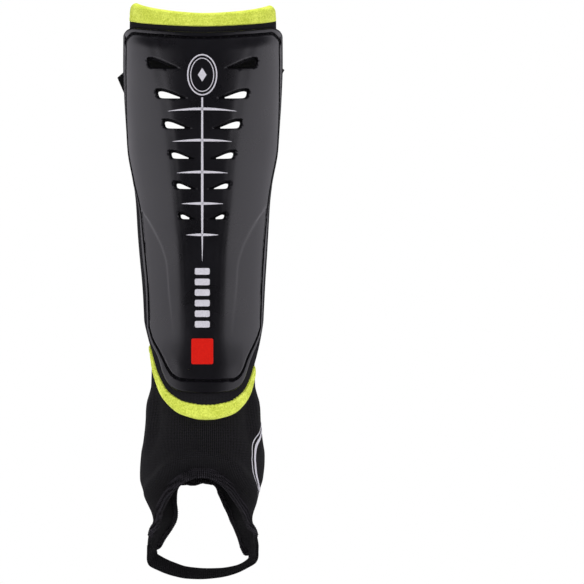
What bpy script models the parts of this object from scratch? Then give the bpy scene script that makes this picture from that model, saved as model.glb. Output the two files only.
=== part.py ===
"""Shin guard: a vented moulded shell on a foam liner, a rear strap, and an open ankle sock.

Metres, +Z up. The front of the leg faces -Y. The leg's axis is the Z axis, and the origin
lies on it at half the shell's height. Heights along the shell are shares of its height,
0 at its upper corners and 1 at the middle of its lower edge.
"""

import math

import bmesh
import bpy
import numpy as np

SHELL_HEIGHT = 0.274
SHELL_WIDTH = 0.1204
SHELL_WALL = 0.003
SHELL_TOP_DIP = 0.004
SHELL_CORNER_DROP = 0.0065
SHELL_BOTTOM_RISE = 0.048
FRONT_REACH = 0.050
FLANGE_SIDE = 0.0032
FLANGE_BOTTOM = 0.009
FLANGE_STEP = 0.0008
FLANGE_SLOPE = 0.0012
WING_STEP = 0.0010
WING_SLOPE = 0.05

VENT_FIRST = 0.0311
VENT_PITCH = 0.0226
HOLE_INSET_OUTER = 0.0020
HOLE_INSET_TIP = 0.0034
HOLE_INSET_TOP = 0.0018
HOLE_INSET_BASE = 0.0003

FOAM_WALL = 0.006
LINER_RISE = 0.064
LINER_STANDS_ABOVE = 0.0046
LINER_TOP_DIP = 0.0049
LINER_HANGS_BELOW = 0.0082

BINDING_PROUD = 0.0008
BINDING_ROUND = 0.0022
TOP_BINDING_HEIGHT = 0.0103
TOP_BINDING_HORNS = 0.0032
BOTTOM_BINDING_HEIGHT = 0.0113

STRAP_WIDTH = 0.034
STRAP_WALL = 0.002
STRAP_DROP = 0.020
STRAP_BACK_DEPTH = 0.060
TAB_REACH = 0.0128
TAB_WALL = 0.002

SOLE_TO_SHELL = 0.1405
SOCK_HEIGHT = 0.172
ANKLE_WIDTH = 0.094
SOCK_WALL = 0.0025
LIMB_SHARE = 0.128
ARCH_BINDING_WIDTH = 0.0064
ARCH_BINDING_WALL = 0.0034
STIRRUP_WIDTH = 0.024
STIRRUP_WALL = 0.0024
STIRRUP_TILT = math.radians(19)
STIRRUP_BEHIND = 0.0135

CLEARANCE = 0.0006
SOCK_COLUMNS = 72
LINER_COLUMNS = 25

TOP_Z = SHELL_HEIGHT / 2
SOLE_Z = -SHELL_HEIGHT / 2 - SOLE_TO_SHELL
HALF_WIDTH = SHELL_WIDTH / 2
LIMB_BOTTOM = LIMB_SHARE * SOCK_HEIGHT
LINER_FACE = SHELL_WALL + CLEARANCE
LINER_BACK = LINER_FACE + FOAM_WALL

# One row for each level of the leg. height is a share of the shell's height. surface and
# edge are half-widths of the leg form and of the shell, as shares of half its width.
# front and widest are how far the form's front line and its widest line lie forward of
# the leg's axis, as shares of FRONT_REACH.
LEG_HEIGHT, LEG_SURFACE, LEG_EDGE, LEG_FRONT, LEG_WIDEST = range(5)
LEG_LEVELS = (
    (-0.08, 1.015, 0.990, 0.98, 0.12),
    (0.00, 1.022, 0.997, 1.00, 0.12),
    (0.10, 1.022, 1.000, 1.03, 0.13),
    (0.18, 1.012, 0.988, 1.04, 0.14),
    (0.28, 0.990, 0.960, 1.04, 0.15),
    (0.34, 0.977, 0.941, 1.04, 0.16),
    (0.42, 0.934, 0.875, 1.02, 0.16),
    (0.48, 0.903, 0.834, 1.00, 0.16),
    (0.55, 0.884, 0.812, 0.98, 0.16),
    (0.63, 0.863, 0.790, 0.96, 0.16),
    (0.70, 0.843, 0.768, 0.94, 0.16),
    (0.78, 0.825, 0.753, 0.935, 0.16),
    (0.84, 0.812, 0.742, 0.94, 0.16),
    (0.90, 0.795, 0.730, 0.964, 0.165),
    (1.00, 0.767, 0.715, 1.02, 0.18),
    (1.10, 0.755, 0.705, 1.08, 0.20),
)

# The shell's lower edge: how far across, as a share of the shell's half-width there, and
# how far it has risen, as a share of SHELL_BOTTOM_RISE.
SHELL_BOTTOM_EDGE = (
    (0.00, 0.000),
    (0.43, 0.027),
    (0.56, 0.073),
    (0.665, 0.183),
    (0.73, 0.323),
    (0.79, 0.500),
    (0.91, 0.746),
    (0.955, 0.850),
    (1.00, 1.000),
)

# The liner's lower edge: how far round, as a share of its reach, and how far it has risen,
# as a share of LINER_RISE.
LINER_BOTTOM_EDGE = (
    (0.00, 0.000),
    (0.18, 0.019),
    (0.285, 0.042),
    (0.38, 0.089),
    (0.50, 0.172),
    (0.616, 0.336),
    (0.70, 0.505),
    (0.79, 0.675),
    (0.895, 0.862),
    (1.00, 1.000),
)

# How far round the leg the liner reaches at each height, in degrees from the front.
LINER_REACH = (
    (-0.08, 72.0),
    (0.00, 72.5),
    (0.15, 76.0),
    (0.34, 80.0),
    (0.44, 86.0),
    (1.10, 86.0),
)

# Where the side wings step down from the raised centre: a share of the shell's half-width.
WING_LINE = (
    (0.44, 1.15),
    (0.489, 0.954),
    (0.522, 0.832),
    (0.567, 0.700),
    (0.607, 0.606),
    (0.648, 0.552),
    (0.716, 0.535),
    (0.826, 0.483),
    (1.00, 0.440),
)
WING_FADES = ((0.00, 0.0), (0.44, 0.0), (0.50, 1.0), (0.72, 0.9), (0.86, 0.0), (1.10, 0.0))

# One row for each pair of vents. outer and tip are shares of half the shell's width, and
# rise is a share of VENT_PITCH.
VENTS = (
    (0.693, 0.309, 0.380),
    (0.585, 0.201, 0.336),
    (0.502, 0.143, 0.332),
    (0.417, 0.100, 0.301),
    (0.354, 0.083, 0.274),
    (0.304, 0.083, 0.248),
)

# The outline of a vent: along runs from its outer end to its tip, up from its lower edge.
VENT_OUTLINE = (
    (0.00, 0.78),
    (0.03, 0.95),
    (0.12, 1.00),
    (0.30, 0.90),
    (0.52, 0.66),
    (0.76, 0.34),
    (1.00, 0.02),
    (0.94, 0.00),
    (0.60, 0.00),
    (0.16, 0.03),
    (0.07, 0.14),
    (0.03, 0.42),
)

# One row for each level of the ankle sock, upwards from the sole. height is a share of
# SOCK_HEIGHT, and half_width, front and back are shares of half the ankle's width.
SOCK_LEVELS = (
    (0.110, 0.908, 0.86, 1.06),
    (0.148, 0.900, 0.87, 1.08),
    (0.183, 0.877, 0.88, 1.10),
    (0.218, 0.840, 0.89, 1.11),
    (0.253, 0.794, 0.90, 1.12),
    (0.284, 0.815, 0.92, 1.13),
    (0.326, 0.877, 0.95, 1.13),
    (0.392, 0.945, 0.97, 1.13),
    (0.436, 0.989, 0.98, 1.12),
    (0.493, 1.000, 0.98, 1.10),
    (0.545, 0.994, 0.97, 1.08),
    (0.600, 0.962, 0.955, 1.06),
    (0.700, 0.925, 0.950, 1.02),
    (0.737, 0.921, 0.940, 1.00),
    (0.772, 0.906, 0.925, 0.99),
    (0.810, 0.866, 0.900, 0.985),
    (0.846, 0.836, 0.880, 0.98),
    (0.936, 0.826, 0.850, 0.975),
    (1.000, 0.815, 0.830, 0.97),
)

# The sock's lower edge: degrees round from the front, and the share of SOCK_HEIGHT above
# the sole. The flat stretch at the side is the limb that the stirrup is sewn to.
SOCK_EDGE = (
    (0, 0.488),
    (18, 0.466),
    (31, 0.423),
    (49, 0.349),
    (66, 0.297),
    (80, 0.256),
    (88, 0.215),
    (92, 0.170),
    (95, LIMB_SHARE),
    (118, LIMB_SHARE),
    (124, 0.135),
    (131, 0.172),
    (139, 0.218),
    (143, 0.262),
    (147, 0.325),
    (152, 0.385),
    (158, 0.410),
    (180, 0.413),
)
ARCH_END_COLUMN = 18

# The stirrup's middle line from one limb to the other: across as a share of half the
# ankle's width, and height as a share of the limb's bottom.
STIRRUP_ROUTE = (
    (-0.905, 1.00),
    (-0.900, 0.86),
    (-0.840, 0.66),
    (-0.700, 0.50),
    (-0.500, 0.34),
    (-0.260, 0.24),
    (0.000, 0.205),
    (0.260, 0.235),
    (0.500, 0.33),
    (0.700, 0.49),
    (0.840, 0.65),
    (0.900, 0.86),
    (0.905, 1.00),
)

# The tab's outline, as shares of its reach: out from the strap, and up.
TAB_OUTLINE = ((0.0, 0.62), (0.35, 0.60), (1.0, 0.0), (0.35, -1.55), (0.0, -1.50))


def smooth(rows, at, column=1):
    """Reads a column of a table at any places, on a smooth curve that never overshoots."""
    xs = np.array([row[0] for row in rows], float)
    ys = np.array([row[column] for row in rows], float)
    rates = np.diff(ys) / np.diff(xs)
    same_way = rates[:-1] * rates[1:] > 0
    total = np.where(same_way, rates[:-1] + rates[1:], 1.0)
    inner = np.where(same_way, 2 * rates[:-1] * rates[1:] / total, 0.0)
    slopes = np.concatenate(([rates[0]], inner, [rates[-1]]))
    at = np.clip(np.asarray(at, float), xs[0], xs[-1])
    left = np.clip(np.searchsorted(xs, at) - 1, 0, len(xs) - 2)
    span = xs[left + 1] - xs[left]
    t = (at - xs[left]) / span
    return (
        (2 * t**3 - 3 * t**2 + 1) * ys[left]
        + (t**3 - 2 * t**2 + t) * span * slopes[left]
        + (3 * t**2 - 2 * t**3) * ys[left + 1]
        + (t**3 - t**2) * span * slopes[left + 1]
    )


def height_z(height):
    """The Z of a height given as a share of the shell's height."""
    return TOP_Z - height * SHELL_HEIGHT


def leg_point(angle, height, back_depth=None):
    """A point on the leg form: an ellipse at each height, deeper behind if asked."""
    half_width = smooth(LEG_LEVELS, height, LEG_SURFACE) * HALF_WIDTH
    front = smooth(LEG_LEVELS, height, LEG_FRONT) * FRONT_REACH
    widest = smooth(LEG_LEVELS, height, LEG_WIDEST) * FRONT_REACH
    depth = front - widest
    if back_depth is not None:
        depth = np.where(np.cos(angle) < 0, back_depth, depth)
    x = half_width * np.sin(angle)
    y = -widest - depth * np.cos(angle)
    return np.stack(np.broadcast_arrays(x, y, height_z(height)), axis=-1)


def unit(vectors):
    return vectors / np.linalg.norm(vectors, axis=-1, keepdims=True)


def leg_face(angle, height, out, back_depth=None):
    """A point that stands out from the leg form along its normal."""
    step = 1e-3
    round_leg = leg_point(angle + step, height, back_depth) - leg_point(angle - step, height, back_depth)
    down_leg = leg_point(angle, height + step, back_depth) - leg_point(angle, height - step, back_depth)
    normal = unit(np.cross(down_leg, round_leg))
    return leg_point(angle, height, back_depth) + normal * np.asarray(out)[..., None]


def shell_top(across):
    """How far the shell's upper edge lies below its corners' top."""
    corner_starts = 0.867
    share = np.abs(across)
    dip = SHELL_TOP_DIP * (1 - np.minimum(share / corner_starts, 1) ** 1.6)
    into_corner = np.clip((share - corner_starts) / (1 - corner_starts), 0, 1)
    return (dip + SHELL_CORNER_DROP * (1 - np.sqrt(1 - into_corner**2))) / SHELL_HEIGHT


def shell_bottom(across):
    return 1 - smooth(SHELL_BOTTOM_EDGE, np.abs(across)) * SHELL_BOTTOM_RISE / SHELL_HEIGHT


def shell_angle(across, height):
    """The angle round the leg of a share of the shell's half-width."""
    edge = smooth(LEG_LEVELS, height, LEG_EDGE)
    return np.arcsin(edge * across / smooth(LEG_LEVELS, height, LEG_SURFACE))


def wing_relief(across, height):
    """How far the side wings lie below the raised centre."""
    past = (np.abs(across) - smooth(WING_LINE, height)) / WING_SLOPE
    step = np.clip(past, 0, 1)
    return -WING_STEP * step**2 * (3 - 2 * step) * smooth(WING_FADES, height)


def shell_grid(inner_columns=23, inner_rows=21):
    """The shell's outer face: a low flange all round, and a raised field inside it."""
    side_1 = FLANGE_SIDE / HALF_WIDTH
    side_2 = side_1 + FLANGE_SLOPE / HALF_WIDTH
    inner = np.sin(np.linspace(-1, 1, inner_columns) * 1.2) / math.sin(1.2) * (1 - side_2)
    across = np.concatenate(([-1, side_1 - 1], inner, [1 - side_1, 1]))
    top = shell_top(across)
    bottom = shell_bottom(across)
    slope = np.gradient(bottom * SHELL_HEIGHT, across * HALF_WIDTH)
    flange = FLANGE_BOTTOM + (FLANGE_SIDE - FLANGE_BOTTOM) * across**2
    low_1 = flange * np.sqrt(1 + slope**2) / SHELL_HEIGHT
    low_2 = low_1 + FLANGE_SLOPE / SHELL_HEIGHT
    high_1 = FLANGE_SIDE / SHELL_HEIGHT
    high_2 = high_1 + FLANGE_SLOPE / SHELL_HEIGHT
    down = np.linspace(0, 1, inner_rows)[:, None]
    field = (top + high_2) * (1 - down) + (bottom - low_2) * down
    height = np.vstack((top, top + high_1, field, bottom - low_1, bottom))
    across = np.broadcast_to(across, height.shape)
    raised = np.zeros(height.shape)
    raised[2:-2, 2:-2] = 1
    relief = raised * (FLANGE_STEP + wing_relief(across, height))
    return leg_face(shell_angle(across, height), height, relief)


def liner_top(share):
    return (LINER_TOP_DIP * (1 - np.abs(share) ** 1.6) - LINER_STANDS_ABOVE) / SHELL_HEIGHT


def liner_bottom(share):
    rise = smooth(LINER_BOTTOM_EDGE, np.abs(share)) * LINER_RISE
    return 1 + (LINER_HANGS_BELOW - rise) / SHELL_HEIGHT


def liner_angle(share, height):
    return np.radians(smooth(LINER_REACH, height)) * share


def liner_grid(rows=16):
    """The liner's outer face, just behind the shell's inner face."""
    share = np.linspace(-1, 1, LINER_COLUMNS)
    down = np.linspace(0, 1, rows)[:, None]
    height = liner_top(share) * (1 - down) + liner_bottom(share) * down
    out = np.full(height.shape, -LINER_FACE)
    return leg_face(liner_angle(share, height), height, out)


def edge_band(edge, outward, breadth, lines=3):
    """A strip that starts CLEARANCE outside an edge and runs outward by its breadth."""
    shares = np.linspace(0, 1, lines)[:, None, None]
    return edge + outward * (CLEARANCE + breadth[None, :, None] * shares)


def top_binding_grid():
    """The fabric that stands over the liner's upper edge, taller at its two horns."""
    share = np.linspace(-1, 1, LINER_COLUMNS)
    height = liner_top(share)
    angle = liner_angle(share, height)
    out = np.full(share.shape, BINDING_PROUD - LINER_FACE)
    edge = leg_face(angle, height, out)
    upward = unit(leg_face(angle, height - 0.01, out) - edge)
    breadth = TOP_BINDING_HEIGHT + TOP_BINDING_HORNS * np.abs(share) ** 1.6
    narrower = np.array([0.0, 0.01, 0.035])[:, None]
    grid = edge_band(edge, upward, breadth)
    grid[..., 0] *= 1 - narrower
    return grid[::-1]


def bottom_binding_grid(columns=9):
    """The fabric round the liner's lower edge, narrowing to a tip at each side."""
    reach = 2 * columns / (LINER_COLUMNS - 1)
    share = np.linspace(-reach, reach, 2 * columns + 1)
    height = liner_bottom(share)
    angle = liner_angle(share, height)
    out = np.full(share.shape, BINDING_PROUD - LINER_FACE)
    edge = leg_face(angle, height, out)
    along = unit(np.gradient(edge, axis=0))
    normal = unit(leg_face(angle, height, out + 0.001) - edge)
    outward = unit(np.cross(along, normal))
    outward = outward * np.where(outward[:, 2:] > 0, -1, 1)
    breadth = BOTTOM_BINDING_HEIGHT * (1 - 0.66 * (np.abs(share) / reach) ** 1.5)
    return edge_band(edge, outward, breadth)


def rear_strap_grid(stations=33, starts=62):
    """The strap's outer face: inside the liner at its ends, and round the calf between."""
    angle = np.radians(np.linspace(starts, 360 - starts, stations))
    across = np.array([-0.5, 0.5])[:, None] * STRAP_WIDTH
    height = (STRAP_DROP + across) / SHELL_HEIGHT
    out = np.full((2, stations), -(LINER_BACK + CLEARANCE))
    return leg_face(angle + 0 * height, height + 0 * angle, out, STRAP_BACK_DEPTH)


def behind_liner(point, angle):
    """Draws a point of the sock in towards the leg where the liner lies over it."""
    inset = LINER_BACK + BINDING_PROUD + CLEARANCE
    height = (TOP_Z - point[..., 2]) / SHELL_HEIGHT
    widest = smooth(LEG_LEVELS, height, LEG_WIDEST) * FRONT_REACH
    depth = smooth(LEG_LEVELS, height, LEG_FRONT) * FRONT_REACH - widest - inset
    half_width = smooth(LEG_LEVELS, height, LEG_SURFACE) * HALF_WIDTH - inset
    share = np.hypot(point[..., 0] / half_width, np.minimum(point[..., 1] + widest, 0) / depth)
    turned = np.abs(np.degrees(np.arctan2(np.sin(angle), np.cos(angle))))
    covers = smooth(((0, 1.0), (56, 1.0), (74, 0.0), (180, 0.0)), turned)
    covers = covers * smooth(((0.0, 1.0), (1.075, 1.0), (1.20, 0.0), (2.0, 0.0)), height)
    pull = 1 + (1 / np.maximum(share, 1) - 1) * covers
    centre = np.stack((0 * widest, -widest, point[..., 2]), axis=-1)
    return centre + (point - centre) * pull[..., None]


def sock_point(angle, height):
    """A point on the sock's outer face at an angle from the front and a height share."""
    half = ANKLE_WIDTH / 2
    half_width = smooth(SOCK_LEVELS, height, 1) * half
    front = smooth(SOCK_LEVELS, height, 2) * half
    back = smooth(SOCK_LEVELS, height, 3) * half
    depth = np.where(np.cos(angle) > 0, front, back)
    z = SOLE_Z + height * SOCK_HEIGHT
    x = half_width * np.sin(angle)
    free = np.stack(np.broadcast_arrays(x, -depth * np.cos(angle), z), axis=-1)
    return behind_liner(free, angle)


def sock_edge(degrees):
    """The share of the sock's height at which its lower edge lies."""
    turned = np.abs((degrees + 180) % 360 - 180)
    return smooth(SOCK_EDGE, turned)


def sock_grid(rows=10):
    """The sock's outer face, a tube whose lower edge has an arch, two limbs and a heel."""
    degrees = np.linspace(-180, 180, SOCK_COLUMNS, endpoint=False)
    low = sock_edge(degrees)
    down = np.linspace(0, 1, rows)[:, None]
    height = 1 - down + low * down
    return sock_point(np.radians(degrees) + 0 * height, height)


def arch_binding_grid():
    """The overlocked edge of the front arch, on the sock's own surface."""
    degrees = np.arange(-ARCH_END_COLUMN, ARCH_END_COLUMN + 1) * 360 / SOCK_COLUMNS
    edge = sock_point(np.radians(degrees), sock_edge(degrees))
    along = unit(np.gradient(edge, axis=0))
    beside = sock_point(np.radians(degrees) + 0.01, sock_edge(degrees)) - edge
    above = sock_point(np.radians(degrees), sock_edge(degrees) + 0.01) - edge
    normal = unit(np.cross(beside, above))
    outward = unit(np.cross(along, normal))
    proud = (ARCH_BINDING_WALL - SOCK_WALL) / 2
    breadth = np.full(degrees.shape, ARCH_BINDING_WIDTH)
    return edge_band(edge + normal * proud, outward, breadth, lines=2)


def stirrup_grid(stations=33):
    """The strap under the foot, from one limb to the other, with its front edge lower."""
    step = np.linspace(0, 1, len(STIRRUP_ROUTE))
    rows = [(s, *point) for s, point in zip(step, STIRRUP_ROUTE)]
    along = np.linspace(0, 1, stations)
    x = smooth(rows, along, 1) * ANKLE_WIDTH / 2
    z = SOLE_Z + smooth(rows, along, 2) * LIMB_BOTTOM
    level = np.clip(1.15 - np.abs(2 * along - 1) * 1.3, 0, 1)
    tilt = STIRRUP_TILT * level
    across = np.array([-0.5, 0.5])[:, None] * STIRRUP_WIDTH
    y = STIRRUP_BEHIND + across * np.cos(tilt)
    z = z - CLEARANCE + across * np.sin(tilt)
    return np.stack(np.broadcast_arrays(x, y, z), axis=-1)


def material(name, colour, roughness):
    """A Principled material with one sRGB colour."""
    made = bpy.data.materials.new(name)
    made.use_nodes = True
    parts = [int(colour[i : i + 2], 16) / 255 for i in (0, 2, 4)]
    linear = [c / 12.92 if c <= 0.04045 else ((c + 0.055) / 1.055) ** 2.4 for c in parts]
    shader = made.node_tree.nodes["Principled BSDF"]
    shader.inputs["Base Color"].default_value = (*linear, 1)
    shader.inputs["Roughness"].default_value = roughness
    shader.inputs["Metallic"].default_value = 0.0
    return made


def sheet_object(name, grid, wall, finish, closed=False, round_by=0.0, grow=-1.0):
    """An open surface through a grid of points, thickened by Solidify, edges rounded."""
    rows, columns = grid.shape[:2]
    index = np.arange(rows * columns).reshape(rows, columns)
    right = np.roll(index, -1, axis=1) if closed else index[:, 1:]
    left = index if closed else index[:, :-1]
    quads = np.stack((left[:-1], left[1:], right[1:], right[:-1]), axis=-1).reshape(-1, 4)
    mesh = bpy.data.meshes.new(name)
    mesh.from_pydata(grid.reshape(-1, 3).tolist(), [], quads.tolist())
    mesh.materials.append(finish)
    made = bpy.data.objects.new(name, mesh)
    PARTS.objects.link(made)
    thicken = made.modifiers.new("wall", "SOLIDIFY")
    thicken.thickness = wall
    thicken.offset = grow
    thicken.use_even_offset = True
    if round_by:
        rounding = made.modifiers.new("round edges", "BEVEL")
        rounding.width = round_by
        rounding.segments = 2
        rounding.limit_method = "ANGLE"
        rounding.angle_limit = math.radians(50)
    mesh.shade_smooth()
    return made


def flat_outline(name, outlines, half_depth):
    """Closed outlines in the XZ plane as one solid mesh, half_depth each way along Y."""
    curve = bpy.data.curves.new(name, "CURVE")
    curve.dimensions = "2D"
    curve.fill_mode = "BOTH"
    curve.extrude = half_depth
    for outline in outlines:
        spline = curve.splines.new("POLY")
        spline.points.add(len(outline) - 1)
        for point, (x, z) in zip(spline.points, outline):
            point.co = (x, z, 0, 1)
        spline.use_cyclic_u = True
    drawn = bpy.data.objects.new(name + "_outline", curve)
    bpy.context.scene.collection.objects.link(drawn)
    mesh = bpy.data.meshes.new_from_object(drawn.evaluated_get(bpy.context.evaluated_depsgraph_get()))
    bpy.data.objects.remove(drawn)
    work = bmesh.new()
    work.from_mesh(mesh)
    bmesh.ops.remove_doubles(work, verts=work.verts, dist=1e-6)
    bmesh.ops.recalc_face_normals(work, faces=work.faces)
    work.to_mesh(mesh)
    work.free()
    return mesh


def vent_outline(row, vent, side, hole):
    """The outline of one vent of the shell, or of the smaller hole in the liner behind."""
    outer, tip, rise = vent
    start = outer * HALF_WIDTH - hole * HOLE_INSET_OUTER
    end = tip * HALF_WIDTH + hole * HOLE_INSET_TIP
    base = TOP_Z - VENT_FIRST - row * VENT_PITCH + hole * HOLE_INSET_BASE
    tall = rise * VENT_PITCH - hole * (HOLE_INSET_TOP + HOLE_INSET_BASE)
    return [(side * (start + (end - start) * along), base + tall * up) for along, up in VENT_OUTLINE]


def cut_vents(target, name, hole):
    """Cuts all the vents straight through from the front."""
    outlines = [
        vent_outline(row, vent, side, hole) for row, vent in enumerate(VENTS) for side in (-1, 1)
    ]
    half_depth = FRONT_REACH * 0.75
    cutter = bpy.data.objects.new(name, flat_outline(name, outlines, half_depth))
    cutter.rotation_euler = (math.pi / 2, 0, 0)
    cutter.location = (0, -half_depth, 0)
    cutter.hide_render = True
    cutter.display_type = "WIRE"
    CUTTERS.objects.link(cutter)
    cut = target.modifiers.new("vents", "BOOLEAN")
    cut.operation = "DIFFERENCE"
    cut.object = cutter


def strap_tab(finish):
    """The strap's short end, a flap that stands out at the left of the shell."""
    height = (STRAP_DROP + STRAP_WIDTH / 2) / SHELL_HEIGHT
    out = -LINER_BACK
    root = leg_face(np.radians(-92.0), np.float64(height), np.float64(out), STRAP_BACK_DEPTH)
    outline = [(-TAB_REACH * reach, TAB_REACH * up) for reach, up in TAB_OUTLINE]
    made = bpy.data.objects.new("strap_tab", flat_outline("strap_tab", [outline], TAB_WALL / 2))
    made.rotation_euler = (math.pi / 2, 0, 0)
    made.location = root
    made.data.materials.append(finish)
    PARTS.objects.link(made)


for old in list(bpy.data.objects):
    bpy.data.objects.remove(old)
PARTS = bpy.data.collections.new("shin_guard")
CUTTERS = bpy.data.collections.new("cutters")
for group in (PARTS, CUTTERS):
    bpy.context.scene.collection.children.link(group)

SHELL_PLASTIC = material("moulded_plastic", "3A393D", 0.38)
FOAM_CLOTH = material("foam_cloth", "19191B", 0.9)
BINDING_CLOTH = material("binding_cloth", "CFDC46", 0.85)
ELASTIC = material("elastic", "1A1A1C", 0.85)
SOCK_KNIT = material("sock_knit", "1D1D1F", 0.95)
EDGE_KNIT = material("edge_knit", "29282B", 0.95)

shell = sheet_object("shell", shell_grid(), SHELL_WALL, SHELL_PLASTIC)
cut_vents(shell, "shell_vents", 0)
liner = sheet_object("foam_liner", liner_grid(), FOAM_WALL, FOAM_CLOTH)
cut_vents(liner, "liner_vents", 1)
binding_wall = FOAM_WALL + 2 * BINDING_PROUD
sheet_object("top_binding", top_binding_grid(), binding_wall, BINDING_CLOTH, round_by=BINDING_ROUND)
sheet_object("bottom_binding", bottom_binding_grid(), binding_wall, BINDING_CLOTH, round_by=BINDING_ROUND)
sheet_object("rear_strap", rear_strap_grid(), STRAP_WALL, ELASTIC)
strap_tab(ELASTIC)
sheet_object("ankle_sock", sock_grid(), SOCK_WALL, SOCK_KNIT, closed=True)
sheet_object("arch_binding", arch_binding_grid(), ARCH_BINDING_WALL, EDGE_KNIT, round_by=SOCK_WALL / 3)
sheet_object("stirrup_strap", stirrup_grid(), STIRRUP_WALL, SOCK_KNIT, grow=0.0)
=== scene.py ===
# %% [markdown]
# # A hockey shin guard, built piece by piece
# A guard like this is a moulded plastic shell sewn to a foam liner. Bright cloth binds the
# liner's two ends, an elastic strap closes it behind the calf, and a knitted sock with a
# strap under the foot holds it down. The solids of all these are already made. This script
# dresses them: each soft or moulded piece is worked out again as a fine surface that lies
# in the same place, and gets the finish of the real material.

# %% Load the solids
import math

import bpy
import numpy as np
from mathutils import Matrix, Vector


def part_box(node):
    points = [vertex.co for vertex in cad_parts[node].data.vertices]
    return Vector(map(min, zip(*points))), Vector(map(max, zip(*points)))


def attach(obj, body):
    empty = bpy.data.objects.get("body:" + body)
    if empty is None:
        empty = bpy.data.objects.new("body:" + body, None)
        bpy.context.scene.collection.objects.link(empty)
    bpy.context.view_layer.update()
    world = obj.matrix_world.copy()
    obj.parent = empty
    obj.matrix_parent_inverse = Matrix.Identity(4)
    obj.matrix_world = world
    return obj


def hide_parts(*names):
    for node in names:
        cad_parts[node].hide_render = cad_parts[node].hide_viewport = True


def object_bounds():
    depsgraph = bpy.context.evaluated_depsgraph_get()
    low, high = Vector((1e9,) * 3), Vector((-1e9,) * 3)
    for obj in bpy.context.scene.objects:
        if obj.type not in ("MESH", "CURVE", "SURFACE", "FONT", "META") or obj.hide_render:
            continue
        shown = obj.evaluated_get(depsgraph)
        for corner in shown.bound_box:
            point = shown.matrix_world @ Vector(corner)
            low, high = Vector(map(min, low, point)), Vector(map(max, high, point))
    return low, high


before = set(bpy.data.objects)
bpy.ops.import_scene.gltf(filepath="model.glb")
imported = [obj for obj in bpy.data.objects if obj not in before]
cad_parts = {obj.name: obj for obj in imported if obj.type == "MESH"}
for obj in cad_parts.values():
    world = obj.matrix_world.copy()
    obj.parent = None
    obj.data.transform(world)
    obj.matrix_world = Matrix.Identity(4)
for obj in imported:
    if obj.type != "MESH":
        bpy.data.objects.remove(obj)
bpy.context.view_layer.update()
print("solids:", sorted(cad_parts))

# %% [markdown]
# ## Sizes
# The leg's axis is the Z axis, and its front faces -Y. Everything is in metres. Heights on
# the shell are shares of its height, measured down from its top. A short table says how
# wide and how deep the leg form is at each level, and a smooth curve through its rows
# gives every level between them.

# %% Driving sizes
SHELL_HEIGHT = 0.274
SHELL_WIDTH = 0.1204
SHELL_WALL = 0.003
SHELL_TOP_DIP = 0.004
SHELL_CORNER_DROP = 0.0065
SHELL_BOTTOM_RISE = 0.048
FRONT_REACH = 0.050
FLANGE_STEP = 0.0008
WING_STEP = 0.0010

VENT_FIRST = 0.0311
VENT_PITCH = 0.0226
HOLE_INSET_OUTER = 0.0020
HOLE_INSET_TIP = 0.0034
HOLE_INSET_TOP = 0.0018
HOLE_INSET_BASE = 0.0003

FOAM_WALL = 0.006
LINER_RISE = 0.064
LINER_STANDS_ABOVE = 0.0046
LINER_TOP_DIP = 0.0049
LINER_HANGS_BELOW = 0.0082

BINDING_PROUD = 0.0008
TOP_BINDING_HEIGHT = 0.0103
TOP_BINDING_HORNS = 0.0032
BOTTOM_BINDING_HEIGHT = 0.0113

STRAP_WIDTH = 0.034
STRAP_WALL = 0.002
STRAP_DROP = 0.020
STRAP_BACK_DEPTH = 0.060
TAB_REACH = 0.0128
TAB_WALL = 0.002

SOLE_TO_SHELL = 0.1405
SOCK_HEIGHT = 0.172
ANKLE_WIDTH = 0.094
SOCK_WALL = 0.0025
LIMB_SHARE = 0.128
ARCH_BINDING_WIDTH = 0.0064
ARCH_BINDING_WALL = 0.0034
STIRRUP_WIDTH = 0.024
STIRRUP_WALL = 0.0024
STIRRUP_BEHIND = 0.0135
CLEARANCE = 0.0006

TOP_Z = SHELL_HEIGHT / 2
SOLE_Z = -SHELL_HEIGHT / 2 - SOLE_TO_SHELL
HALF_WIDTH = SHELL_WIDTH / 2
LIMB_BOTTOM = LIMB_SHARE * SOCK_HEIGHT
LINER_FACE = SHELL_WALL + CLEARANCE
LINER_BACK = LINER_FACE + FOAM_WALL

# %% The leg form, level by level
# height is a share of the shell's height. surface and edge are half-widths of the leg form
# and of the shell, as shares of half its width. front and widest are how far the form's
# front line and its widest line lie forward of the axis, as shares of FRONT_REACH.
LEG_SURFACE, LEG_EDGE, LEG_FRONT, LEG_WIDEST = 1, 2, 3, 4
LEG_LEVELS = (
    (-0.08, 1.015, 0.990, 0.98, 0.12),
    (0.00, 1.022, 0.997, 1.00, 0.12),
    (0.10, 1.022, 1.000, 1.03, 0.13),
    (0.18, 1.012, 0.988, 1.04, 0.14),
    (0.28, 0.990, 0.960, 1.04, 0.15),
    (0.34, 0.977, 0.941, 1.04, 0.16),
    (0.42, 0.934, 0.875, 1.02, 0.16),
    (0.48, 0.903, 0.834, 1.00, 0.16),
    (0.55, 0.884, 0.812, 0.98, 0.16),
    (0.63, 0.863, 0.790, 0.96, 0.16),
    (0.70, 0.843, 0.768, 0.94, 0.16),
    (0.78, 0.825, 0.753, 0.935, 0.16),
    (0.84, 0.812, 0.742, 0.94, 0.16),
    (0.90, 0.795, 0.730, 0.964, 0.165),
    (1.00, 0.767, 0.715, 1.02, 0.18),
    (1.10, 0.755, 0.705, 1.08, 0.20),
)


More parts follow.
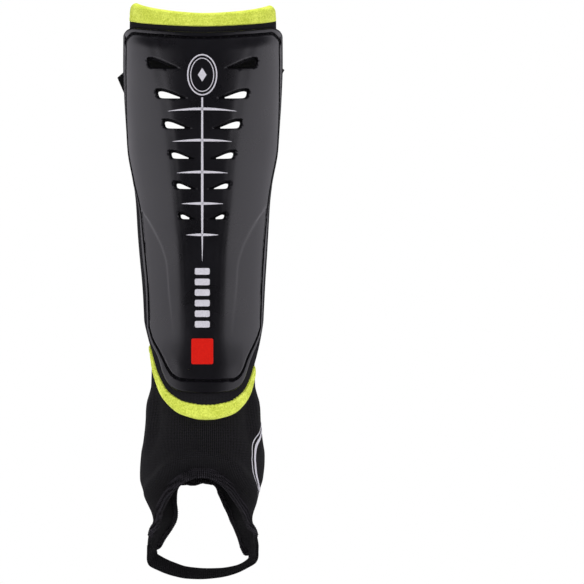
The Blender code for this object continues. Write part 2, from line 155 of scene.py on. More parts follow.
def smooth(rows, at, column=1):
    """Reads a column of a table at any places: cubic pieces whose slopes never overshoot."""
    xs = np.array([row[0] for row in rows], float)
    ys = np.array([row[column] for row in rows], float)
    rates = np.diff(ys) / np.diff(xs)
    same_way = rates[:-1] * rates[1:] > 0
    total = np.where(same_way, rates[:-1] + rates[1:], 1.0)
    inner = np.where(same_way, 2 * rates[:-1] * rates[1:] / total, 0.0)
    slopes = np.concatenate(([rates[0]], inner, [rates[-1]]))
    at = np.clip(np.asarray(at, float), xs[0], xs[-1])
    left = np.clip(np.searchsorted(xs, at) - 1, 0, len(xs) - 2)
    span = xs[left + 1] - xs[left]
    t = (at - xs[left]) / span
    return (
        (2 * t**3 - 3 * t**2 + 1) * ys[left]
        + (t**3 - 2 * t**2 + t) * span * slopes[left]
        + (3 * t**2 - 2 * t**3) * ys[left + 1]
        + (t**3 - t**2) * span * slopes[left + 1]
    )


def step(share):
    """Rises smoothly from 0 to 1 as share does: 3t^2 - 2t^3."""
    t = np.clip(share, 0, 1)
    return t * t * (3 - 2 * t)


def ramp(value, start, over):
    """Rises smoothly from 0 at a start to 1 a little further on."""
    return step((value - start) / over)


def bell(value, middle, reach):
    """1 at the middle, and dying away to both sides: exp(-((v - middle) / reach)^2)."""
    return np.exp(-(((value - middle) / reach) ** 2))


def unit(vectors):
    """The same directions, each one long."""
    return vectors / np.linalg.norm(vectors, axis=-1, keepdims=True)


def walked_along(points):
    """How far it is along a path from its first point to each of its points."""
    steps = np.linalg.norm(np.diff(points, axis=0), axis=-1)
    return np.concatenate((np.zeros((1, *steps.shape[1:])), np.cumsum(steps, axis=0)))


def level_of(z):
    """A height as a share of the shell's height, measured down from its top."""
    return (TOP_Z - z) / SHELL_HEIGHT


def leg_sizes(z):
    """Half-width, depth in front of the widest line, and that line's place, at a height."""
    height = level_of(z)
    widest = smooth(LEG_LEVELS, height, LEG_WIDEST) * FRONT_REACH
    depth = smooth(LEG_LEVELS, height, LEG_FRONT) * FRONT_REACH - widest
    return smooth(LEG_LEVELS, height, LEG_SURFACE) * HALF_WIDTH, depth, widest


def round_leg(angle, z, out, back_depth=None):
    """x = (W + out) sin(angle), y = -widest - (D + out) cos(angle): an ellipse at each z."""
    half_width, depth, widest = leg_sizes(z)
    if back_depth is not None:
        depth = np.where(np.cos(angle) < 0, back_depth, depth)
    x = (half_width + out) * np.sin(angle)
    y = -widest - (depth + out) * np.cos(angle)
    return np.stack(np.broadcast_arrays(x, y, z), axis=-1)


print("half-width of the leg form in mm at the top, middle and bottom of the shell:",
      np.round(leg_sizes(np.array([TOP_Z, 0.0, -TOP_Z]))[0] * 1000, 1).tolist())

# %% [markdown]
# ## Colours and nodes
# A colour picked on a screen is sRGB, while the renderer works in linear light, so one
# function turns the one into the other. One more function adds a node with its settings and
# its inputs, which keeps each material short enough to read.

# %% Colour and node helpers
def linear(code):
    """The linear colour of an sRGB hex code."""
    parts = np.array([int(code[i : i + 2], 16) for i in (0, 2, 4)]) / 255
    low, high = parts / 12.92, ((parts + 0.055) / 1.055) ** 2.4
    return (*np.where(parts <= 0.04045, low, high).tolist(), 1.0)


def feed(node, inputs):
    """Gives inputs, by name or number, a value or a link from another node's output."""
    for key, value in inputs.items():
        if isinstance(value, bpy.types.NodeSocket):
            node.id_data.links.new(value, node.inputs[key])
        else:
            node.inputs[key].default_value = value
    return node


def add(tree, kind, inputs, **settings):
    """Adds a node with its settings, and feeds its inputs."""
    node = tree.nodes.new(kind)
    for name, value in settings.items():
        setattr(node, name, value)
    return feed(node, inputs)


def new_material(name, even):
    """A Principled material, with the values that are the same all over on its own sockets."""
    made = bpy.data.materials.new(name)
    made.use_nodes = True
    return made, made.node_tree, feed(made.node_tree.nodes["Principled BSDF"], even)


def paint(tree, shader, share, dark, light, gloss=None, relief=None):
    """Mixes two colours by a share from 0 to 1, which may also run through a range of gloss.

    relief is a height from 0 to 1, its depth in metres, and how strongly it bends the light."""
    colour = add(tree, "ShaderNodeMix", {0: share, 6: linear(dark), 7: linear(light)},
                 data_type="RGBA")
    feed(shader, {"Base Color": colour.outputs[2]})
    if gloss:
        rough = add(tree, "ShaderNodeMapRange", {0: share, 3: gloss[0], 4: gloss[1]})
        feed(shader, {"Roughness": rough.outputs[0]})
    if relief:
        bump = add(tree, "ShaderNodeBump", dict(zip(("Height", "Distance", "Strength"), relief)))
        feed(shader, {"Normal": bump.outputs[0]})


print("lime in linear light:", np.round(linear("CFDC46"), 3).tolist())

# %% [markdown]
# ## The finishes
# The shell is injection-moulded polypropylene with a fine spark texture: almost black by
# itself, with a satin sheen that picks up the lights at its sides. The bindings are brushed
# polyester knit, the sock is a fine rib knit, and the strap is woven elastic. Cloth patterns
# follow an attribute that each cloth piece carries: millimetres along it and across it.
# Noise stays near its middle value, so a narrow part of its range is spread from 0 to 1.
# In the knits the colour is painted shade: darker in the hollows between the loops.

# %% Moulded plastic
NOISE_SPREAD = {1: 0.3, 2: 0.7}
CLOTH_SPREAD = {1: 0.38, 2: 0.62}


def plastic():
    """Satin polypropylene: the grain of the mould, and faint handling marks in its gloss."""
    made, tree, shader = new_material("satin_polypropylene", {})
    place = add(tree, "ShaderNodeTexCoord", {}).outputs["Object"]
    marks = add(tree, "ShaderNodeTexNoise", {"Vector": place, "Scale": 1 / 0.03, "Detail": 3.0})
    share = add(tree, "ShaderNodeMapRange", {0: marks.outputs[0], **NOISE_SPREAD})
    # The real spark texture is about 0.15 mm. It is drawn at 0.5 mm so that it shows.
    spark = add(tree, "ShaderNodeTexNoise", {"Vector": place, "Scale": 1 / 0.0005, "Detail": 2.0})
    paint(tree, shader, share.outputs[0], "0D0C10", "121116", (0.26, 0.33),
          (spark.outputs[0], 0.00003, 0.5))
    return made


SHELL_PLASTIC = plastic()
print("made", SHELL_PLASTIC.name)

# %% Cloth finishes
def brushed_lime():
    """Brushed polyester knit: a short felted nap that mottles the colour."""
    made, tree, shader = new_material("brushed_lime_knit", {
        "Roughness": 0.88, "Sheen Weight": 0.12, "Sheen Roughness": 0.5,
        "Sheen Tint": linear("F2F7B0")})
    place = add(tree, "ShaderNodeTexCoord", {}).outputs["Object"]
    nap, patches = (
        add(tree, "ShaderNodeTexNoise",
            {"Vector": place, "Scale": 1 / size, "Detail": detail}).outputs[0]
        for size, detail in ((0.0011, 3.0), (0.009, 2.0))
    )
    both = add(tree, "ShaderNodeMix", {0: 0.35, 2: nap, 3: patches}, data_type="FLOAT")
    share = add(tree, "ShaderNodeMapRange", {0: both.outputs[0], **CLOTH_SPREAD})
    paint(tree, shader, share.outputs[0], "BCC93B", "E4EF66", relief=(nap, 0.0005, 0.8))
    return made


def rib_knit(name, dark, light, wale, course, depth):
    """Weft knit: upright wales, crossed by the rows of loops, with a little fluff.

    A wave texture has 20 radians to its unit, so its scale is 2 pi / 20 over the pitch."""
    made, tree, shader = new_material(
        name, {"Roughness": 0.92, "Specular IOR Level": 0.12, "Sheen Weight": 0.015})
    place = add(tree, "ShaderNodeAttribute", {}, attribute_name="laid_mm").outputs["Vector"]
    wales, courses = (
        add(tree, "ShaderNodeTexWave",
            {"Vector": place, "Scale": 2 * math.pi / 20 / pitch, "Distortion": 0.0},
            bands_direction=way).outputs[1]
        for way, pitch in (("X", wale), ("Y", course))
    )
    loops = add(tree, "ShaderNodeMix", {0: 0.35, 2: wales, 3: courses}, data_type="FLOAT")
    fluff = add(tree, "ShaderNodeTexNoise", {"Vector": place, "Scale": 1 / 0.7, "Detail": 3.0})
    height = add(tree, "ShaderNodeMix", {0: 0.68, 2: loops.outputs[0], 3: fluff.outputs[0]},
                 data_type="FLOAT").outputs[0]
    # The colour follows the loops' height: painted shade, darker in the hollows between the wales
    # and rows and lighter on their crests, mixed with a random tone from the fluff.
    share = add(tree, "ShaderNodeMapRange", {0: height, **CLOTH_SPREAD})
    paint(tree, shader, share.outputs[0], dark, light, relief=(height, depth, 0.8))
    return made


LIME_CLOTH = brushed_lime()
# Wales of such a sock are about 0.8 mm apart. They are drawn at 1.5 mm so that they show.
# Each knit's dark and light colours are painted shade in the hollows of its loops and painted
# light on their crests.
SOCK_KNIT = rib_knit("black_rib_knit", "020202", "232225", 1.5, 1.2, 0.0003)
LINER_KNIT = rib_knit("liner_jersey", "0E0E0F", "252428", 1.1, 1.1, 0.00014)
EDGE_KNIT = rib_knit("overlocked_edge", "030304", "343237", 1.5, 1.5, 0.0003)
ELASTIC = rib_knit("woven_elastic", "0C0C0D", "1D1D1F", 1.3, 3.0, 0.00025)
print("made", [m.name for m in (LIME_CLOTH, SOCK_KNIT, LINER_KNIT, EDGE_KNIT, ELASTIC)])

# %% Inks and thread
def ink(name, dark, light, gloss):
    """Screen-print ink: a thin even film, a little uneven in its gloss."""
    made, tree, shader = new_material(name, {"Specular IOR Level": 0.2})
    place = add(tree, "ShaderNodeTexCoord", {}).outputs["Object"]
    specks = add(tree, "ShaderNodeTexNoise", {"Vector": place, "Scale": 1 / 0.0012, "Detail": 2.0})
    share = add(tree, "ShaderNodeMapRange", {0: specks.outputs[0], **NOISE_SPREAD})
    paint(tree, shader, share.outputs[0], dark, light, gloss)
    return made


def thread():
    """Waxed polyester thread, whose twist shows as fine dark and light specks."""
    made, tree, shader = new_material(
        "black_polyester_thread", {"Roughness": 0.7, "Specular IOR Level": 0.2})
    place = add(tree, "ShaderNodeTexCoord", {}).outputs["Object"]
    twist = add(tree, "ShaderNodeTexNoise",
                {"Vector": place, "Scale": 1 / 0.0006, "Detail": 2.0}).outputs[0]
    paint(tree, shader, twist, "020203", "0C0C0D", relief=(twist, 0.0001, 0.6))
    return made


SILVER_INK = ink("silver_print", "BDBBC3", "CBC9D0", (0.45, 0.55))
RED_INK = ink("red_print", "C81005", "D21809", (0.40, 0.50))
THREAD = thread()
print("made", [m.name for m in (SILVER_INK, RED_INK, THREAD)])

# %% [markdown]
# ## From a grid to a closed piece
# Every piece starts as a grid of points, a function of two parameters. A real wall has two
# skins, so the grid is worked out twice, and a strip of faces joins the two skins wherever
# the grid has an open edge: round the outside, and round each hole.

# %% Mesh helpers
def grid_faces(rows, columns, closed=False):
    """The four corners of each face of a grid, whose columns may close on themselves."""
    index = np.arange(rows * columns).reshape(rows, columns)
    right = np.roll(index, -1, axis=1) if closed else index[:, 1:]
    left = index if closed else index[:, :-1]
    return np.stack((left[:-1], left[1:], right[1:], right[:-1]), axis=-1).reshape(-1, 4)


def mesh_from(name, points, faces):
    """A mesh from arrays of points and of faces' corners."""
    mesh = bpy.data.meshes.new(name)
    mesh.from_pydata(points.tolist(), [], faces.tolist())
    return mesh


def shown(name, data):
    """A new object that puts a mesh, a light or a camera into the scene."""
    made = bpy.data.objects.new(name, data)
    bpy.context.scene.collection.objects.link(made)
    return made


def piece(name, points, faces, finish, slot, laid=None, sharp=40.0):
    """A mesh object that rides with the guard, with its faces pointing out."""
    a, b, c, d = (points[faces[:, i]] for i in range(4))
    volume = (a * np.cross(b, c)).sum() + (a * np.cross(c, d)).sum()
    faces = faces if volume > 0 else faces[:, ::-1]
    mesh = mesh_from(name, points, faces)
    if laid is not None:
        attribute = mesh.attributes.new("laid_mm", "FLOAT_VECTOR", "POINT")
        attribute.data.foreach_set("vector", laid.astype(np.float32).ravel())
    mesh.shade_smooth()
    mesh.set_sharp_from_angle(angle=math.radians(sharp))
    mesh.materials.append(finish)
    made = shown(name, mesh)
    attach(made, "root")
    print(f"{name}: {len(faces) * 2} triangles, {abs(volume) / 6 * 1e6:.1f} cubic cm")
    return made


def two_skins(outer, inner, faces):
    """Points and faces of a wall: outer skin, inner skin, and a strip along each open edge."""
    count = len(outer)
    edges = np.concatenate([faces[:, [i, (i + 1) % 4]] for i in range(4)])
    forward = edges[:, 0] * count + edges[:, 1]
    backward = edges[:, 1] * count + edges[:, 0]
    rim = edges[~np.isin(forward, backward)]
    strip = np.stack((rim[:, 1], rim[:, 0], rim[:, 0] + count, rim[:, 1] + count), axis=-1)
    return np.vstack((outer, inner)), np.concatenate((faces, faces[:, ::-1] + count, strip))


def used_only(points, faces, *others):
    """Leaves out the points that no face uses."""
    kept, faces = np.unique(faces, return_inverse=True)
    return (points[kept], faces.reshape(-1, 4), *(other[kept] for other in others))


def laid_out(grid):
    """Millimetres along the columns and down the rows of a grid, from the middle column."""
    across = walked_along(grid.swapaxes(0, 1)).T
    across = across - across[:, across.shape[1] // 2][:, None]
    down = walked_along(grid)
    return np.stack((across, down, 0 * down), axis=-1) * 1000


def normals(grid, closed=False):
    """Unit normals of a grid, away from the leg's axis: the cross product of its two ways."""
    if closed:
        wide = np.concatenate((grid[:, -1:], grid, grid[:, :1]), axis=1)
        along = (wide[:, 2:] - wide[:, :-2]) / 2
    else:
        along = np.gradient(grid, axis=1)
    return unit(np.cross(np.gradient(grid, axis=0), along))


def band(name, middle, half, finish, slot, closed=False):
    """A cloth band: its middle surface, moved out and in by half its thickness."""
    out = normals(middle, closed) * half[..., None]
    faces = grid_faces(*middle.shape[:2], closed)
    laid = laid_out(middle).reshape(-1, 3)
    points, faces = two_skins((middle + out).reshape(-1, 3), (middle - out).reshape(-1, 3), faces)
    return piece(name, points, faces, finish, slot, np.vstack((laid, laid)), 60)


def rounded(distance, radius):
    """The share of full thickness at a distance from a rounded edge: a quarter circle."""
    inward = np.clip(distance / radius, 0, 1)
    return np.sqrt(np.clip(1 - (1 - inward) ** 2, 0, 1))


def eased(count, low=0.0, high=1.0):
    """Places from low to high, closer together at both ends: a cosine."""
    return low + (high - low) * (1 - np.cos(np.linspace(0, math.pi, count))) / 2


def spaced(stretches):
    """Places along rows or columns: each stretch has a start, an end and its spacing."""
    runs = [np.linspace(a, b, round((b - a) / gap), endpoint=False) for a, b, gap in stretches]
    return np.concatenate((*runs, [stretches[-1][1]]))


print("a grid of 3 by 3 points has", len(grid_faces(3, 3)), "faces on each skin")

# %% Distances in a plane
def to_path(points, path):
    """How far each point is from a closed path, and its nearest place on it."""
    gap = np.full(len(points), np.inf)
    nearest = points.copy()
    for start, end in zip(path, np.roll(path, -1, axis=0)):
        run = end - start
        share = np.clip((points - start) @ run / max(run @ run, 1e-18), 0, 1)
        foot = start + share[:, None] * run
        away = np.hypot(*(points - foot).T)
        nearer = away < gap
        gap[nearer] = away[nearer]
        nearest[nearer] = foot[nearer]
    return gap, nearest


def within(points, path):
    """True inside a closed path: a ray to the right crosses it an odd number of times."""
    x, z = points.T
    inside = np.zeros(len(points), bool)
    for (ax, az), (bx, bz) in zip(path, np.roll(path, -1, axis=0)):
        crosses = (az > z) != (bz > z)
        meets = ax + (z - az) * (bx - ax) / (bz - az if bz != az else 1.0)
        inside ^= crosses & (x < meets)
    return inside


def soften(path, times=2):
    """Cuts each corner of a closed path at a quarter and three quarters of its sides."""
    for _ in range(times):
        after = np.roll(path, -1, axis=0)
        pairs = np.stack((0.75 * path + 0.25 * after, 0.25 * path + 0.75 * after), axis=1)
        path = pairs.reshape(-1, 2)
    return path


def even(path, gap):
    """The same closed path with its points an even distance apart."""
    ring = np.vstack((path, path[:1]))
    walked = walked_along(ring)
    at = np.linspace(0, walked[-1], round(walked[-1] / gap), endpoint=False)
    return np.stack([np.interp(at, walked, ring[:, i]) for i in (0, 1)], axis=-1)


square = np.array([(0, 0), (1, 0), (1, 1), (0, 1)], float)
print("the middle of a unit square is inside:", bool(within(np.array([[0.5, 0.5]]), square)[0]))

# %% [markdown]
# ## The vents
# Six pairs of slots go straight back through the shell. Behind each is a smaller hole in the
# liner, so a slot shows a dark border round a bright opening. Each slot is an outline of
# twelve points, softened at its corners, and one row of a table places each pair.

# %% Vent outlines
VENTS = (
    (0.693, 0.309, 0.380),
    (0.585, 0.201, 0.336),
    (0.502, 0.143, 0.332),
    (0.417, 0.100, 0.301),
    (0.354, 0.083, 0.274),
    (0.304, 0.083, 0.248),
)
VENT_OUTLINE = (
    (0.00, 0.78),
    (0.03, 0.95),
    (0.12, 1.00),
    (0.30, 0.90),
    (0.52, 0.66),
    (0.76, 0.34),
    (1.06, 0.00),
    (0.96, 0.00),
    (0.60, 0.00),
    (0.16, 0.03),
    (0.07, 0.14),
    (0.03, 0.42),
)


def vent_outline(row, vent, side, hole):
    """One vent in the XZ plane: outer end and tip are shares of half the shell's width."""
    outer, tip, rise = vent
    start = outer * HALF_WIDTH - hole * HOLE_INSET_OUTER
    end = tip * HALF_WIDTH + hole * HOLE_INSET_TIP
    base = TOP_Z - VENT_FIRST - row * VENT_PITCH + hole * HOLE_INSET_BASE
    tall = rise * VENT_PITCH - hole * (HOLE_INSET_TOP + HOLE_INSET_BASE)
    along, up = np.array(VENT_OUTLINE).T
    return soften(np.stack((side * (start + (end - start) * along), base + tall * up), axis=-1))


SLOTS = [vent_outline(row, vent, side, 0) for row, vent in enumerate(VENTS) for side in (-1, 1)]
HOLES = [vent_outline(row, vent, side, 1) for row, vent in enumerate(VENTS) for side in (-1, 1)]


def cut_through(x, z, faces, outlines, reach):
    """Opens holes in a grid: points in or near an outline move onto it, faces inside it go.

    Returns the new x and z, the faces that stay, and each point's distance from an outline."""
    flat = np.stack((x, z), axis=-1)
    gap = np.full(len(flat), 1.0)
    gone = np.zeros(len(flat), bool)
    for outline in outlines:
        low, high = outline.min(0) - 4 * reach, outline.max(0) + 4 * reach
        near = np.flatnonzero(((flat > low) & (flat < high)).all(axis=1))
        away, foot = to_path(flat[near], outline)
        moved = within(flat[near], outline) | (away < 0.4 * reach)
        flat[near[moved]] = foot[moved]
        gone[near[moved]] = True
        gap[near] = np.minimum(gap[near], np.where(moved, 0, away))
    return flat[:, 0], flat[:, 1], faces[~gone[faces].all(axis=1)], gap


def vent_stretches(start, end, fine, coarse, margin=0.0008):
    """Stretches down from TOP_Z between two depths, fine across each row of vents."""
    stretches, reached = [], start
    for row, (_, _, rise) in enumerate(VENTS):
        base = VENT_FIRST + row * VENT_PITCH
        top = base - rise * VENT_PITCH
        stretches += [(reached, top - margin, coarse), (top - margin, base + margin, fine)]
        reached = base + margin
    return (*stretches, (reached, end, coarse))


widest_slot = np.ptp(SLOTS[0][:, 0]) * 1000
print("vents:", len(SLOTS), "of which the widest spans", round(widest_slot, 1), "mm")

# %% [markdown]
# ## The shell
# The shell follows the leg form. A low flange runs all round it, and inside the flange a
# groove takes the stitches that hold it to the liner. The field inside the groove stands a
# little higher, with a raised band down the middle and two wings that step down low at the
# sides. All of this relief is worked out from distances: from the outline, from the groove
# and from the vents. The shell is laid flat for that, so that a distance is measured along
# the plastic and not as seen from the front.

# %% The shell's outline and groove
SHELL_BOTTOM_EDGE = (
    (0.00, 0.000),
    (0.12, 0.001),
    (0.43, 0.027),
    (0.56, 0.073),
    (0.665, 0.183),
    (0.73, 0.323),
    (0.79, 0.500),
    (0.91, 0.746),
    (0.955, 0.850),
    (1.00, 1.000),
)
CORNER_STARTS = 0.867
# How far the groove lies inside the outline: along the top, down a side by height, and
# along the bottom by the share across.
GROOVE_TOP = 0.0042
GROOVE_SIDE = (
    (0.00, 0.0072),
    (0.06, 0.0092),
    (0.13, 0.0084),
    (0.21, 0.0058),
    (0.28, 0.0034),
    (0.36, 0.0026),
    (0.46, 0.0026),
    (0.62, 0.0046),
    (0.66, 0.0043),
    (0.82, 0.0034),
)
GROOVE_BOTTOM = ((0.0, 0.0094), (0.5, 0.0086), (0.665, 0.0064), (0.79, 0.0040), (1.0, 0.0034))


SKEW = 0.055


def skewed(across):
    """The share across, from a middle that lies a little to the right at the lower edges."""
    return np.abs(across - SKEW * (1 - np.clip(across, -1, 1) ** 4))


def shell_top(across):
    """How far the upper edge lies below TOP_Z: a dip in the middle and round corners."""
    share = np.abs(across)
    dip = SHELL_TOP_DIP * (1 - np.minimum(share / CORNER_STARTS, 1) ** 1.6)
    into_corner = np.clip((share - CORNER_STARTS) / (1 - CORNER_STARTS), 0, 1)
    return dip + SHELL_CORNER_DROP * (1 - np.sqrt(1 - into_corner**2))


def shell_bottom(across):
    """How far the lower edge lies below TOP_Z."""
    return SHELL_HEIGHT - smooth(SHELL_BOTTOM_EDGE, skewed(across)) * SHELL_BOTTOM_RISE


def left_share(share, z, start, full, fades, ends):
    """How much the left side is drawn in at a height: the guard is a little uneven there."""
    height = level_of(z)
    comes, goes = ramp(height, start, full - start), ramp(height, fades, ends - fades)
    return np.where(share < 0, comes * (1 - goes), 0.0)


LINER_DRAWN, SHELL_DRAWN = 0.030, 0.038


def liner_drawn(share, z):
    """The liner's half-width at the left, as a share of that at the right."""
    return 1 - LINER_DRAWN * left_share(share, z, 0.55, 0.75, 0.88, 0.94)


def shell_x(across, z):
    """The shell lies further in at the left, where the liner shows beside it."""
    edge = smooth(LEG_LEVELS, level_of(z), LEG_EDGE) * HALF_WIDTH
    uncovered = 1 - SHELL_DRAWN * left_share(across, z, 0.42, 0.52, 0.82, 0.88)
    return across * edge * uncovered * liner_drawn(across, z)


def lay_flat(x, z):
    """Unrolls the leg form: the distance round from the front line, and the height."""
    half_width = leg_sizes(z)[0]
    return np.stack((half_width * np.arcsin(np.clip(x / half_width, -1, 1)), z), axis=-1)


def shell_outline():
    """The outline laid flat, clockwise from the upper left, and the groove's inset there."""
    across = np.sin(np.linspace(-1, 1, 161) * math.pi / 2)
    sides = np.linspace(0, 1, 121)[1:-1]
    top, bottom = TOP_Z - shell_top(across), TOP_Z - shell_bottom(across)
    side_z = top[-1] + (bottom[-1] - top[-1]) * sides
    level = level_of(side_z)
    z = np.concatenate((top, side_z, bottom[::-1], side_z[::-1]))
    u = np.concatenate((across, np.ones(119), across[::-1], -np.ones(119)))
    into_side = ramp(np.abs(across), CORNER_STARTS, 1 - CORNER_STARTS)
    top_inset = GROOVE_TOP + (GROOVE_SIDE[0][1] - GROOVE_TOP) * into_side
    side_inset = smooth(GROOVE_SIDE, level)
    bottom_inset = smooth(GROOVE_BOTTOM, np.abs(across[::-1]))
    inset = np.concatenate((top_inset, side_inset, bottom_inset, side_inset[::-1]))
    return lay_flat(shell_x(u, z), z), inset


OUTLINE, INSET = shell_outline()
around = unit(np.roll(OUTLINE, -2, axis=0) - np.roll(OUTLINE, 2, axis=0))
inward = np.stack((around[:, 1], -around[:, 0]), axis=-1)
POINT_GAP = 0.0022
GROOVE = even(OUTLINE + inward * INSET[:, None], POINT_GAP)
OUTLINE = even(OUTLINE, POINT_GAP)
print("points on the outline and the groove:", len(OUTLINE), len(GROOVE))

# %% The shell's relief
EDGE_ROUND = 0.0010
GROOVE_DEPTH = 0.0013
GROOVE_HALF = 0.0013
FIELD_SLOPE = 0.0011
VENT_ROUND = 0.0006
RIDGE_RISE = 0.0013
RIDGE_SOFT = 0.0030
RIDGE_ROUNDED = 0.25
RIDGE_FADE = 0.024
RIDGE_FADES_BY = 0.7
LOW_FLAT = 0.0025
LOW_FLAT_REACH = 0.030
WING_CREASE = 0.0014
FIELD_RISES_OVER = 0.010
WING_STOPS = 0.002
# Where a change sets in by height on the shell, and over how much of the height it comes. The
# groove is shallower between the first two, and the ridge fades at the third.
SHALLOW = 0.6
SHALLOW_FROM, SHALLOW_TO = (0.16, 0.06), (0.50, 0.10)
RIDGE_FADES = (0.60, 0.22)
LOW_FLAT_FROM = (0.84, 0.12)
# The flat middle panel ends in a soft ridge. This is half its width, by height on the shell.
RIDGE_AT = (
    (0.00, 0.040),
    (0.05, 0.037),
    (0.13, 0.032),
    (0.23, 0.027),
    (0.31, 0.0235),
    (0.39, 0.0210),
    (0.47, 0.0190),
    (0.64, 0.0138),
    (0.80, 0.0128),
    (0.92, 0.0140),
    (1.00, 0.0160),
)
# Where a wing steps down, as a share of the shell's half-width, and how strong the step is.
WING_LINE = (
    (0.44, 1.15),
    (0.489, 0.954),
    (0.522, 0.832),
    (0.567, 0.700),
    (0.607, 0.606),
    (0.648, 0.552),
    (0.716, 0.535),
    (0.826, 0.483),
    (1.00, 0.440),
)
WING_FADES = ((0.00, 0.0), (0.44, 0.0), (0.50, 1.0), (0.72, 0.9), (0.86, 0.0), (1.10, 0.0))


def shell_relief(x, z, vent_gap=1.0):
    """How far the shell's face stands out from the leg form.

    A quarter circle at the outline and at each vent, a parabola for the groove, smooth steps
    for the field and the wings, and the two ridges of the middle panel: the face flattens up
    to a ridge as the square of the distance, and falls back to the leg form beyond it."""
    flat = lay_flat(x, z)
    from_edge = to_path(flat, OUTLINE)[0]
    inside = within(flat, GROOVE)
    from_groove = to_path(flat, GROOVE)[0] * np.where(inside, 1, -1)
    height = level_of(z)
    relief = -EDGE_ROUND * (1 - rounded(from_edge, EDGE_ROUND))
    relief += FLANGE_STEP * step((from_groove + 0.0001) / FIELD_SLOPE)
    shallow = 1 - SHALLOW * ramp(height, *SHALLOW_FROM) * (1 - ramp(height, *SHALLOW_TO))
    relief -= GROOVE_DEPTH * shallow * np.clip(1 - (from_groove / GROOVE_HALF) ** 2, 0, 1) ** 1.5
    past = np.abs(x) - smooth(RIDGE_AT, height)
    flat_part = np.clip(1 + past / smooth(RIDGE_AT, height), 0, 1) ** 2
    fallen = step(past / RIDGE_FADE)
    rounding = RIDGE_ROUNDED * bell(past, 0, RIDGE_SOFT)
    ridge = RIDGE_RISE * (1 - RIDGE_FADES_BY * ramp(height, *RIDGE_FADES))
    relief += ridge * (flat_part - fallen - rounding) * step(from_groove / FIELD_RISES_OVER)
    low_down = ramp(height, *LOW_FLAT_FROM)
    relief += LOW_FLAT * np.minimum(np.abs(x) / LOW_FLAT_REACH, 1) ** 2 * low_down
    edge = smooth(LEG_LEVELS, height, LEG_EDGE) * HALF_WIDTH
    past = (np.abs(x) - smooth(WING_LINE, height) * edge) / WING_CREASE
    relief -= WING_STEP * step(past) * smooth(WING_FADES, height) * step(from_groove / WING_STOPS)
    return relief - VENT_ROUND * (1 - rounded(vent_gap, VENT_ROUND))


SIDE_TURNS = (0.70, 0.2)


def front_wall(x, z, out, back):
    """Outer and inner skin between two heights above the leg form, as seen from the front.

    y = -widest - (D + out) sqrt(1 - (x / (W + out))^2). In the middle both skins have the
    same x and z, so holes go straight back; at the sides the inner one keeps the angle."""
    half_width, depth, widest = leg_sizes(z)
    sine = x / (half_width + out)
    y = -widest - (depth + out) * np.sqrt(np.clip(1 - sine**2, 0, 1))
    turned = ramp(np.abs(sine), *SIDE_TURNS)
    x_in = x * (1 - turned) + sine * (half_width + back) * turned
    sine_in = x_in / (half_width + back)
    y_in = -widest - (depth + back) * np.sqrt(np.clip(1 - sine_in**2, 0, 1))
    return np.stack((x, y, z), axis=-1), np.stack((x_in, y_in, z), axis=-1)


at_middle = shell_relief(np.zeros(3), np.array([0.12, 0.0, -0.12]))
print("relief down the middle in mm:", np.round(at_middle * 1000, 2).tolist())

# %% The shell itself
# Rows and columns lie closer together where the relief is fine. Rows are measured down from
# the top, and columns round the leg, both in metres on a shell of full height.
SHELL_ROWS = (
    (0.000, 0.0085, 0.0004),
    *vent_stretches(0.0085, 0.170, 0.0005, 0.0016),
    (0.170, 0.259, 0.0017),
    (0.259, 0.274, 0.0005),
)
LEVEL_FROM, LEVEL_TO = 0.0215, 0.165
SHELL_TURN = math.radians(74)
FINE_ARC = 0.0095


def shell_grid():
    """Shares across and depths down from TOP_Z. The rows are level where the vents are, and
    bend to the outline above and below them."""
    half_arc = SHELL_TURN * HALF_WIDTH
    right = spaced(((0.0, half_arc - FINE_ARC, 0.0011), (half_arc - FINE_ARC, half_arc, 0.0004)))
    arc = np.concatenate((-right[:0:-1], right))
    across = np.sin(arc / HALF_WIDTH) / math.sin(SHELL_TURN)
    down = spaced(SHELL_ROWS)[:, None]
    above = np.clip(1 - down / LEVEL_FROM, 0, 1)
    below = np.clip((down - LEVEL_TO) / (SHELL_HEIGHT - LEVEL_TO), 0, 1)
    z = TOP_Z - down - shell_top(across) * above + (SHELL_HEIGHT - shell_bottom(across)) * below
    return shell_x(across, z), z


def make_shell():
    """Both skins over one grid, with the slots cut through and the relief on the outer one."""
    x, z = shell_grid()
    faces = grid_faces(*x.shape)
    x, z, faces, gap = cut_through(x.ravel(), z.ravel(), faces, SLOTS, 0.0008)
    relief = shell_relief(x, z, gap)
    outer, inner = front_wall(x, z, relief, -SHELL_WALL)
    outer, faces, inner = used_only(outer, faces, inner)
    points, faces = two_skins(outer, inner, faces)
    return piece("moulded_shell", points, faces, SHELL_PLASTIC, "moulded_plastic", sharp=35)


shell = make_shell()
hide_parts("shell")

# %% [markdown]
# ## Stitches and print
# A stitch is a short capsule lying in the groove. There are over a hundred of them, so one
# capsule is worked out and copied along the groove by adding arrays, into a single mesh.
# The print is a film a tenth of a millimetre thick that follows the shell's face.

# %% Stitches
def onto_shell(x, z, lift):
    """A point lift above the shell's face at that x and z."""
    return front_wall(x, z, shell_relief(x, z) + lift, 0.0)[0]


